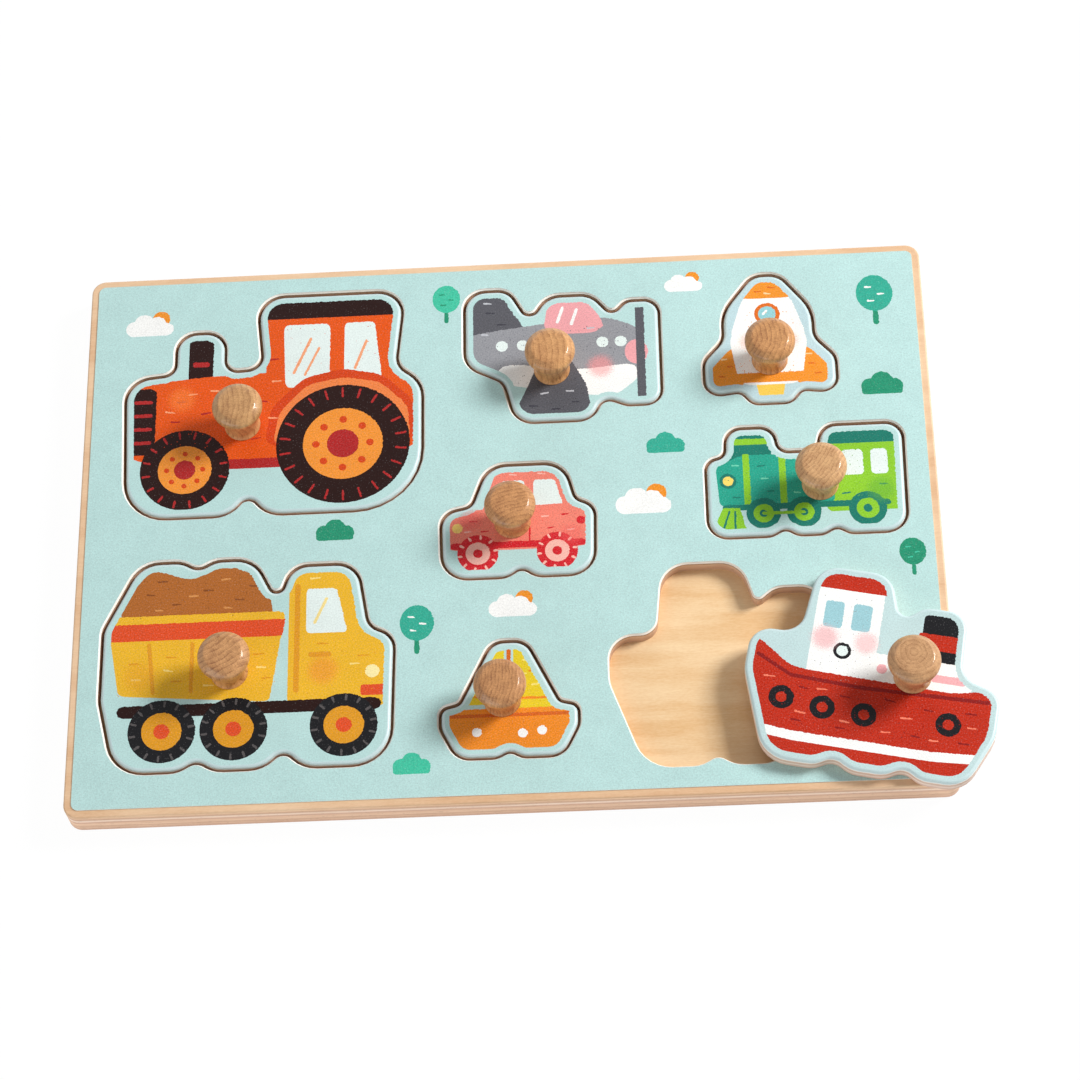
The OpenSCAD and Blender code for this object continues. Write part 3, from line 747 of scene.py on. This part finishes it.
shapes += dashes(rgb(66, 66, 74), [(24, 6), (32, 4.5), (39, 7), (9, 45), (13, 40)], 2.6)
shapes += dashes(rgb(196, 198, 204), [(28, 11), (37, 11.5), (7, 36), (45, 37), (8, 49)], 2.6)
shapes += speckles(rgb(110, 110, 118), 6, 22, 58, 38, 150, 0.2)
shapes += speckles(rgb(60, 60, 66), 18, 4, 44, 22, 60, 0.18)
picture("aeroplane", shapes, [(48, 21, 5.5, rgb(244, 150, 150), 0.6)])


# Rocket picture: white body with orange nose, fins and bands, standing up. It is printed on the paper of the
# piece at the back right, on a slightly bluer ground than the tray's. That ground is a painted sheen,
# standing in for the bluish glare of the light on the varnish there.
orange, deep = rgb(241, 150, 52), rgb(222, 112, 40)
shapes = [
    (rgb(250, 208, 90), blob([(17, 12), (19, 1), (23, 3), (27, 1), (29, 12)], 0.4)),
    (orange, blob([(2, 3), (15, 8), (17, 24), (9, 22), (2, 14)], 0.4)),
    (orange, blob([(44, 3), (31, 8), (29, 24), (37, 22), (44, 14)], 0.4)),
    (WHITE, blob([(12, 7), (34, 7), (37, 26), (32, 42), (23, 52), (14, 42), (9, 26)], 0.45)),
    (orange, blob([(8, 43.5), (17, 42.5), (29, 42.5), (38, 43.5), (30, 52), (16, 52)], 0.2)),
    (orange, blob([(9, 8), (37, 8), (36, 12), (10, 12)], 0.1)),
    (deep, disc(23, 36, 4.6)), (rgb(150, 208, 214), disc(23, 36, 3.2)),
    (WHITE, stroke([(21.6, 36), (22.8, 37.4)], 0.9)),
]
shapes += dashes(deep, [(20, 45.5), (25, 47), (6, 11), (9, 15), (38, 15), (40, 11)], 2.2)
shapes += dashes(rgb(250, 214, 160), [(23.5, 44.5), (7, 18), (37, 19)], 2.0)
shapes += speckles(orange, 12, 12, 34, 37, 90, 0.2, 1.5)
blush = rgb(248, 190, 170)
# The bluer ground is painted sheen.
picture("rocket", shapes, [(15.5, 25, 4, blush, 0.5), (30.5, 25, 4, blush, 0.45)],
        ground_and_painted_sheen=rgb(192, 219, 224))


# Car picture: coral saloon with red details, facing left. It is printed on the paper of the small piece in
# the middle of the tray.
coral, red, pale = rgb(240, 134, 116), rgb(212, 44, 52), rgb(250, 190, 176)
shapes = [
    (coral, blob([(13, 22), (19, 41), (42, 41), (47, 23)], 0.35)),
    (glass, blob([(17.5, 25), (21, 37), (29, 37), (29, 25)], 0.3)),
    (glass, blob([(32, 25), (32, 37), (39.5, 37), (43, 25)], 0.3)),
    (coral, blob([(1, 10), (1, 22), (10, 26), (44, 27.5), (52, 24), (52, 10)], 0.4)),
    (red, stroke([(4, 12), (49, 12)], 2.6)),
    (red, stroke([(30.5, 13), (30.5, 26)], 0.7)), (red, stroke([(26.5, 23), (29, 23)], 0.9)),
    (rgb(252, 214, 120), disc(5.4, 19, 1.9)), (red, disc(48.4, 20.5, 1.6)),
]
for x in (12.5, 40):
    shapes += wheel(x, 9, 7.2, red, pale, red, 10, pale)
shapes += dashes(red, [(11, 21.5), (15, 17.5), (38, 18), (43, 23)], 2.4, 0.7)
shapes += dashes(pale, [(9, 17.5), (36, 22.5), (45, 17), (35, 39.3), (25, 39.3)], 2.2, 0.7)
shapes += speckles(rgb(224, 96, 88), 4, 13, 50, 26, 110, 0.18)
picture("car", shapes, [(10, 22, 5, rgb(236, 92, 90), 0.45), (45, 15, 5, rgb(236, 92, 90), 0.4)])


# Locomotive picture: teal boiler with lime cab and bands, facing left. It is printed on the paper of the
# piece at the right edge.
teal, lime, deep = rgb(46, 164, 140), rgb(142, 202, 54), rgb(34, 122, 106)
shapes = [
    (deep, blob([(7, 28), (6, 41), (24, 41), (22, 28)], 0.2)), (lime, panel(4, 35.5, 25, 38, 1)),
    (lime, panel(41, 8, 67, 40, 2)), (deep, panel(38, 34.5, 70, 42, 1.5)),
    (glass, panel(47, 22, 54.5, 32, 1.6)), (glass, panel(57, 22, 63, 32, 1.6)),
    (teal, blob([(4, 11), (3, 27), (12, 31.5), (44, 31.5), (44, 11)], 0.3)),
    (lime, panel(12.5, 10, 15, 32, 0.8)), (lime, panel(25, 10, 27.5, 32, 0.8)),
    (deep, disc(7.2, 21.5, 3)), (rgb(250, 220, 110), disc(7.2, 21.5, 1.9)),
    (deep, stroke([(6, 11), (62, 11)], 2.4)),
    (lime, blob([(1, 2), (13, 2), (11, 11), (5, 11)], 0.15)),
    (deep, stroke([(5, 3), (7.2, 9.5)], 0.8)), (deep, stroke([(9, 3), (9.2, 9.5)], 0.8)),
]
for x, y, r in ((19, 8.4, 6), (33, 8.4, 6), (55, 8.8, 6.6)):
    shapes += wheel(x, y, r, deep, lime, deep)
shapes += [(lime, stroke([(19, 8.4), (33, 8.4)], 1.3))]
shapes += dashes(deep, [(19, 27), (22, 17), (34, 28), (48, 15), (61, 18), (10, 15)], 2.5, 0.7)
shapes += dashes(rgb(116, 212, 180), [(20, 22), (31, 16), (10, 27.5), (36, 25)], 2.3, 0.7)
shapes += speckles(rgb(110, 176, 40), 43, 12, 65, 34, 80, 0.18)
shapes += speckles(deep, 6, 12, 42, 30, 110, 0.18)
picture("locomotive", shapes, [(60, 16, 6, rgb(96, 170, 60), 0.5)])


# Dump truck picture: yellow cab and skip with a red band, loaded with brown earth, facing right. It is
# printed on the paper of the large piece at the front left.
yellow, amber, earth, red = rgb(239, 185, 52), rgb(226, 156, 44), rgb(178, 106, 50), rgb(226, 84, 46)
shapes = [
    (earth, blob([(8, 50), (5, 62), (16, 76), (30, 71), (42, 77), (56, 70), (60, 52)], 0.55)),
    (yellow, blob([(64, 21), (64, 73), (84, 73), (90, 50), (98, 46), (98, 21)], 0.2)),
    (glass, blob([(70, 49), (70, 66), (80.5, 66), (84.5, 49)], 0.25)),
    (rgb(250, 226, 150), stroke([(73, 53), (77, 62)], 1.1)),
    (yellow, blob([(1, 58), (6, 28), (58, 24), (63, 58)], 0.12)),
    (red, blob([(1, 55), (1.5, 48.5), (62, 48.5), (63, 55)], 0.1)),
    (BROWN, stroke([(8, 22), (94, 22)], 4.6)),
    (amber, panel(66, 27, 68, 68, 0.9)), (amber, panel(71, 40, 79, 42, 0.9)),
    (rgb(252, 236, 170), disc(93, 34, 2.5)), (red, panel(89, 25, 98, 29, 1)),
    (amber, stroke([(18, 29), (16, 47)], 1.5)), (amber, stroke([(31, 29), (31, 47)], 1.5)),
]
for x in (21.5, 46, 83.5):
    shapes += wheel(x, 14.5, 11.6, BLACK, amber, red, 14, rgb(88, 84, 84))
shapes += dashes(amber, [(11, 40), (24, 42), (26, 33), (38, 44), (54, 42), (90, 40), (57, 33), (76, 45)])
shapes += dashes(rgb(252, 222, 130), [(12, 34), (23, 37), (37, 31), (55, 37), (73, 70), (87, 37)], 3)
shapes += dashes(rgb(134, 76, 38), [(16, 66), (25, 62), (36, 67), (47, 63), (52, 68), (20, 71)], 3)
shapes += dashes(rgb(214, 146, 84), [(19, 60), (31, 65), (42, 71), (43, 60)], 2.8)
shapes += speckles(amber, 5, 27, 60, 47, 190, 0.2)
shapes += speckles(rgb(140, 82, 40), 10, 57, 56, 74, 120, 0.2)
shapes += speckles(amber, 66, 26, 96, 47, 90, 0.2)
picture("dump_truck", shapes, [(76, 35, 6.5, rgb(240, 140, 60), 0.5), (13, 35, 7, amber, 0.45)])


# Sailing boat picture: orange hull under two yellow sails. It is printed on the paper of the small piece at
# the front.
yellow, orange, deep = rgb(232, 207, 48), rgb(240, 142, 46), rgb(214, 104, 40)
shapes = [
    (deep, stroke([(23, 12), (23, 41)], 1.5)),
    (yellow, blob([(24.5, 17), (24.5, 41), (28, 41), (41, 17)], 0.15)),
    (yellow, blob([(21.5, 19), (21.5, 39), (17, 38), (7, 19)], 0.15)),
    (orange, stroke([(27.5, 21), (37, 21)], 1)), (orange, stroke([(11.5, 22), (19.5, 22)], 1)),
    (orange, blob([(1, 17.5), (45, 17.5), (44, 9), (38, 1), (8, 1), (2, 9)], 0.2)),
    (deep, stroke([(3, 15), (43, 15)], 1.4)),
    (WHITE, disc(12, 9, 1.7)), (WHITE, disc(34, 9, 1.7)), (WHITE, disc(27.5, 8.2, 1.7)),
]
shapes += dashes(rgb(250, 234, 130), [(28, 30), (32, 26), (17, 27), (29, 35)], 2)
shapes += dashes(orange, [(27.5, 26), (15.5, 30), (31, 31)], 2)
shapes += speckles(rgb(214, 170, 40), 10, 18, 38, 38, 90, 0.18)
shapes += speckles(deep, 4, 4, 42, 14, 70, 0.18)
picture("sailing_boat", shapes)


# Tugboat picture: brick red hull with white wheelhouse, black and red funnel and black fenders, facing left.
# It is printed on the paper of the piece that lies on the tray, on a slightly paler ground than the tray's.
# That ground is a painted sheen, standing in for the glare of the light on the varnish.
brick, dark, pink, peach = rgb(191, 50, 31), rgb(140, 32, 30), rgb(242, 178, 182), rgb(244, 132, 104)
shapes = [
    (BLACK, panel(57, 36, 71, 60, 1.8)), (brick, panel(56, 47, 72, 53, 0.8)),
    (WHITE, blob([(40, 26), (40, 43), (76, 43), (76, 26)], 0.15)),
    (WHITE, panel(20.5, 28, 43, 67, 2.2)), (brick, panel(16, 64.5, 47, 74, 2)),
    (rgb(160, 206, 214), panel(23.5, 50, 30, 60, 1.3)), (rgb(160, 206, 214), panel(33, 50, 39.5, 60, 1.3)),
    (BLACK, disc(31.5, 42, 3.1)), (glass, disc(31.5, 42, 2)),
    (brick, blob([(1, 44), (16, 33.5), (70, 32.5), (85, 36), (84, 16), (74, 1), (14, 1), (5, 14)], 0.25)),
    (WHITE, blob([(2, 12), (20, 10.5), (66, 10.5), (84, 12), (84, 8.6), (66, 7), (20, 7), (2, 8.6)], 0.2)),
    (dark, stroke([(4, 36.5), (16, 30.5), (40, 29.6), (82, 31)], 1.5)),
    (pink, panel(62, 35.5, 74, 38.5, 1.2)), (pink, disc(45.5, 37.5, 1.8)),
]
for x, y in ((14, 22), (28, 20.5), (42, 20), (70, 21)):
    shapes += [(BLACK, disc(x, y, 4.3)), (brick, disc(x, y, 1.9))]
shapes += dashes(dark, [(21, 26.5), (35, 25.5), (50, 26.5), (63, 25), (77, 26), (60, 15), (35, 14),
                          (20, 14.5), (76, 15)])
shapes += dashes(peach, [(9, 29), (27, 27), (50, 15), (78, 21), (66, 14.5), (56, 21), (21, 17.5),
                           (36, 16.5)])
shapes += speckles(dark, 6, 12, 82, 32, 220, 0.2)
shapes += speckles(rgb(150, 150, 150), 22, 30, 42, 62, 70, 0.16)
blush = rgb(246, 178, 180)
# The paler ground is painted sheen.
picture("tugboat", shapes, [(25, 46, 5.5, blush, 0.7), (39, 46, 5, blush, 0.6)], turn=-12,
        ground_and_painted_sheen=rgb(196, 221, 221))


# Knobs: one on each piece, turned from beech rod along its grain and varnished, with end grain on the head.
# The head is a short cone with a round, a bevel and a nearly flat top, and the foot flares out.
# Each is screwed on from below through the block, and pinches the printed sheet.
beech, beech_in, beech_out = node_group(
    "turned beech",
    [("Place", "Vector", None), ("Pith", "Vector", None), ("Ring", "Float", 1.6),
     ("Light", "Color", (0.6, 0.4, 0.2, 1)), ("Dark", "Color", (0.4, 0.2, 0.1, 1))],
    [("Color", "Color"), ("Coat", "Float"), ("Height", "Float")])
wavy = noise(beech, beech_in["Place"], (0.14, 0.14, 0.04), detail=3)
ends = {0: beech_in["Place"], 1: beech_in["Pith"]}
offset = add(beech, "VectorMath", ends, operation="SUBTRACT").outputs[0]
parts = add(beech, "SeparateXYZ", {0: offset}).outputs
level = add(beech, "VectorMath", {0: offset, 1: (1, 1, 0)}, operation="MULTIPLY").outputs[0]
radius = add(beech, "VectorMath", {0: level}, operation="LENGTH").outputs["Value"]
away = add(beech, "VectorMath", {0: beech_in["Pith"]}, operation="LENGTH").outputs["Value"]
turn_round = maths(beech, "ARCTAN2", parts[1], parts[0])
arc = maths(beech, "MULTIPLY", turn_round, maths(beech, "MAXIMUM", away, 5.0))
radius = maths(beech, "ADD", radius, maths(beech, "MULTIPLY", wavy, 3.0))
along = add(beech, "CombineXYZ", {0: radius, 1: arc, 2: parts[2]}).outputs[0]
rings = maths(beech, "FRACT", maths(beech, "DIVIDE", radius, beech_in["Ring"]))
rings = maths(beech, "POWER", rings, 2.4)
broken = noise(beech, along, (1.4, 0.5, 0.2), detail=3, rough=0.7)
rings = maths(beech, "MULTIPLY", rings, spread(beech, broken, 0.35, 0.65, 0.2, 1.2))
rays = noise(beech, along, (0.5, 2.8, 0.12), detail=4, rough=0.75)
fine = noise(beech, beech_in["Place"], (2.6, 2.6, 0.28), detail=3, rough=0.7)
patch = noise(beech, beech_in["Place"], (0.22, 0.22, 0.12), detail=2)
fleck = noise(beech, along, (2.4, 0.9, 0.2), detail=2)
ring_depth = maths(beech, "MULTIPLY", rings, 0.55)
depth = maths(beech, "ADD", ring_depth, spread(beech, rays, 0.3, 0.7, -0.14, 0.34))
depth = maths(beech, "ADD", depth, spread(beech, fine, 0.3, 0.7, -0.1, 0.3))
depth = maths(beech, "ADD", depth, spread(beech, patch, 0.35, 0.65, -0.1, 0.25))
wood = mixed(beech, depth, beech_in["Light"], beech_in["Dark"])
wood = mixed(beech, spread(beech, fleck, 0.6, 0.72, 0.0, 0.42), wood, (*rgb(116, 70, 40), 1))
beech.links.new(wood, beech_out["Color"])
beech.links.new(spread(beech, fine, 0.3, 0.7, 0.35, 0.65), beech_out["Coat"])
beech.links.new(rays, beech_out["Height"])

KNOB_R, KNOB_H, WAIST_R, WAIST_H, FOOT_R, KNOB_SIDES = 8.9, 16.5, 5.7, 2.8, 6.4, 64
foot_round, foot_side_h, foot_h, foot_top_r = 0.15, 0.42, 0.56, FOOT_R - 0.1
profile = [(FOOT_R - foot_round, 0), (FOOT_R, foot_round), (FOOT_R, foot_side_h), (foot_top_r, foot_h)]
for t in (0.2, 0.4, 0.6, 0.8, 1.0):
    profile.append((WAIST_R + (foot_top_r - WAIST_R) * (1 - t) ** 2.2, foot_h + (WAIST_H - foot_h) * t))
cone_r, cone_z = KNOB_R - 0.25, KNOB_H - 4.4
for t in (0.12, 0.3, 0.5, 0.7, 0.88):
    profile.append((WAIST_R + (cone_r - WAIST_R) * t ** 1.12, WAIST_H + (cone_z - WAIST_H) * t))
# From the widest part up: a round, a bevel, a small round and a nearly flat top
for inwards, down in ((0.12, 4.2), (0.02, 3.7), (0.0, 3.2), (0.06, 2.7), (0.2, 2.25), (0.42, 1.85),
                      (0.75, 1.5), (1.25, 1.07), (1.75, 0.64), (2.1, 0.36), (2.3, 0.22), (2.5, 0.13),
                      (2.8, 0.08), (4.4, 0.04), (6.4, 0.01)):
    profile.append((KNOB_R - inwards, KNOB_H - down))

# Each knob's pith, ring width and turn, and the colours of its early and late wood
KNOB_LOOKS = {
    "tractor": ((-25, -6), 1.9, 12, (216, 166, 110), (144, 94, 54)),
    "aeroplane": ((-30, -5), 2.2, 4, (224, 168, 110), (150, 96, 54)),
    "rocket": ((-9, -7), 1.7, 40, (218, 160, 102), (138, 86, 48)),
    "car": ((20, -22), 1.4, 25, (216, 156, 100), (138, 86, 48)),
    "locomotive": ((-26, -18), 1.3, 70, (222, 176, 124), (156, 106, 66)),
    "dump_truck": ((-16, 19), 1.9, 10, (220, 164, 108), (134, 82, 46)),
    "sailing_boat": ((-22, -20), 1.2, 50, (212, 154, 100), (132, 82, 46)),
    "tugboat": ((-0.8, 1.2), 1.5, 30, (212, 164, 116), (152, 106, 68)),
}
for piece in PIECES:
    pith, ring, turn, light, dark = KNOB_LOOKS[piece]
    material, tree, shader, place = new_material(piece + "_beech")
    grain = group_node(tree, beech, Place=place, Pith=(*pith, 0), Ring=ring,
                       Light=(*rgb(*light), 1), Dark=(*rgb(*dark), 1))
    feed(tree, shader, Base_Color=grain["Color"], Roughness=0.45, Specular_IOR_Level=0.2,
         Coat_Weight=grain["Coat"], Coat_Roughness=0.13, Normal=bump(tree, grain["Height"], 0.1, 0.0001))
    _, _, hole, bottom = piece_rings[piece]
    base = bottom + piece_t + print_t
    knob = Shape()
    knob.skin([(circle(hole, r, KNOB_SIDES), base + z) for r, z in profile])
    crown = [(hole.x, hole.y, base + KNOB_H)] + knob.points[-KNOB_SIDES:]
    knob.add(crown, [[0, i + 1, (i + 1) % KNOB_SIDES + 1] for i in range(KNOB_SIDES)])
    knob.add(*level_faces([circle(hole, profile[0][0], KNOB_SIDES)], base, False))
    local = Matrix.Rotation(math.radians(turn), 4, "Z") @ Matrix.Translation((-hole.x, -hole.y, -base))
    knob.finish(piece + "_beech_knob", [material], piece + "_piece", [piece + "_knob"], local)


# Screws: countersunk zinc-plated wood screws, one up through each block into its knob.
# Only the head with its cross shows, from below, sunk a little into the piece's underside.
zinc, tree, shader, place = new_material("zinc_plate")
scratch = noise(tree, place, (0.6, 4, 4), detail=4)
plated = mixed(tree, spread(tree, scratch, 0.3, 0.7), (*rgb(196, 196, 192), 1), (*rgb(160, 160, 156), 1))
feed(tree, shader, Base_Color=plated, Roughness=spread(tree, scratch, 0.3, 0.7, 0.25, 0.42), Metallic=1)
head_r, face_r, thread_r, point_r = 3.0, 2.88, 1.5, 0.05
bevel_h, head_h, thread_h, screw_l = 0.1, 1.7, 11, 13.95
slot_r, slot_w, slot_deep = 1.8, 0.45, 1.2
slots = [(slot_w, -slot_w), (slot_r, -slot_w), (slot_r, slot_w)]
for _ in range(3):
    slots += [(-y, x) for x, y in slots[-3:]]
for piece in PIECES:
    _, _, hole, bottom = piece_rings[piece]
    base = bottom + screw_sunk
    cross = [hole + Vector(p) for p in slots]
    screw = Shape()
    screw.skin([(circle(hole, r), base + z) for r, z in (
        (face_r, 0), (head_r, bevel_h), (thread_r, head_h), (thread_r, thread_h), (point_r, screw_l))])
    screw.add(*level_faces([circle(hole, face_r), cross], base, False))
    screw.skin([(cross, base + slot_deep), (cross, base)])
    screw.add(*level_faces([cross], base + slot_deep, False))
    screw.finish(piece + "_zinc_screw", [zinc], piece + "_piece", [piece + "_screw"])


# Studio: a white paper sweep that reads as white behind the object and keeps a trace of its shadow, in even
# light from all round. A soft key light stands at the right and behind, a wide fill light in front at the
# left, and a weak one behind. The camera stands where the photograph's stood.
scene = bpy.context.scene
scene.view_settings.view_transform = "Standard"
floor_mesh = bpy.data.meshes.new("studio_floor")
reach, floor_z = 6, -0.0002
corners = (-reach, -reach), (reach, -reach), (reach, reach), (-reach, reach)
floor_mesh.from_pydata([(x, y, floor_z) for x, y in corners], [], [(0, 1, 2, 3)])
floor = bpy.data.objects.new("studio_floor", floor_mesh)
scene.collection.objects.link(floor)
paper = bpy.data.materials.new("studio_paper")
paper.use_nodes = True
tree = paper.node_tree


def seen_as_backdrop(tree):
    """1 on the rays that show the white backdrop itself, and 0 on those that light the object."""
    path = add(tree, "LightPath").outputs
    shown = maths(tree, "MAXIMUM", path["Is Camera Ray"], path["Is Glossy Ray"])
    return maths(tree, "MAXIMUM", shown, path["Is Transmission Ray"])


# A small share of plain lit paper in the white glow keeps the trace of shadow
glow_share = 0.95
shader = tree.nodes["Principled BSDF"]
feed(tree, shader, Base_Color=(0.85, 0.85, 0.85, 1), Roughness=0.9)
glow = add(tree, "Emission", {"Color": (1, 1, 1, 1), "Strength": 1.02})
share = maths(tree, "MULTIPLY", seen_as_backdrop(tree), glow_share)
blend = add(tree, "MixShader", {0: share, 1: shader.outputs[0], 2: glow.outputs[0]})
tree.links.new(blend.outputs[0], tree.nodes["Material Output"].inputs["Surface"])
floor_mesh.materials.append(paper)

world = bpy.data.worlds.new("studio_world")
scene.world = world
world.use_nodes = True
tree = world.node_tree
sky = tree.nodes["Background"]
feed(tree, sky, Color=(1, 1, 1, 1), Strength=0.24)
white = add(tree, "Background", {"Color": (1, 1, 1, 1), "Strength": 1.0})
blend = add(tree, "MixShader", {0: seen_as_backdrop(tree), 1: sky.outputs[0], 2: white.outputs[0]})
tree.links.new(blend.outputs[0], tree.nodes["World Output"].inputs["Surface"])


def softbox(name, aim, way, distance, wide, high, power):
    """A rectangular light, in metres and watts, that faces its aim from some distance along a way."""
    lamp = bpy.data.lights.new(name, "AREA")
    lamp.shape = "RECTANGLE"
    lamp.size, lamp.size_y, lamp.energy = wide, high, power
    made = bpy.data.objects.new(name, lamp)
    scene.collection.objects.link(made)
    way = Vector(way).normalized()
    made.location = Vector(aim) + way * distance
    made.rotation_mode = "QUATERNION"
    made.rotation_quaternion = way.to_track_quat("Z", "Y")


softbox("key_light", (0, 0, 0), (0.775, 0.30, 0.60), 1.9, 0.6, 0.6, 39)
softbox("fill_light", (0, 0, 0), (-0.7, -1.0, 0.32), 1.5, 1.8, 0.8, 10)
softbox("back_light", (0, 0.1, 0), (-0.25, 0.9, 0.85), 1.1, 1.2, 0.5, 2.0)

camera = bpy.data.objects.new("camera", bpy.data.cameras.new("camera"))
scene.collection.objects.link(camera)
scene.camera = camera
camera_aim, camera_distance = Vector((0.01104, -0.00212, 0)), 1.0855
around, above, lean = (math.radians(a) for a in (5.899, 62.934, -7.672))
away = Vector((math.sin(around) * math.cos(above), -math.cos(around) * math.cos(above), math.sin(above)))
right = Vector((math.cos(around), math.sin(around), 0))
up = away.cross(right)
right, up = math.cos(lean) * right + math.sin(lean) * up, math.cos(lean) * up - math.sin(lean) * right
camera.matrix_world = Matrix.Translation(camera_aim + camera_distance * away) @ Matrix((
    (right.x, up.x, away.x, 0),
    (right.y, up.y, away.y, 0),
    (right.z, up.z, away.z, 0),
    (0, 0, 0, 1)))
camera.data.sensor_width = 36
camera.data.lens = 103.30
camera.data.clip_start, camera.data.clip_end = 0.05, 50
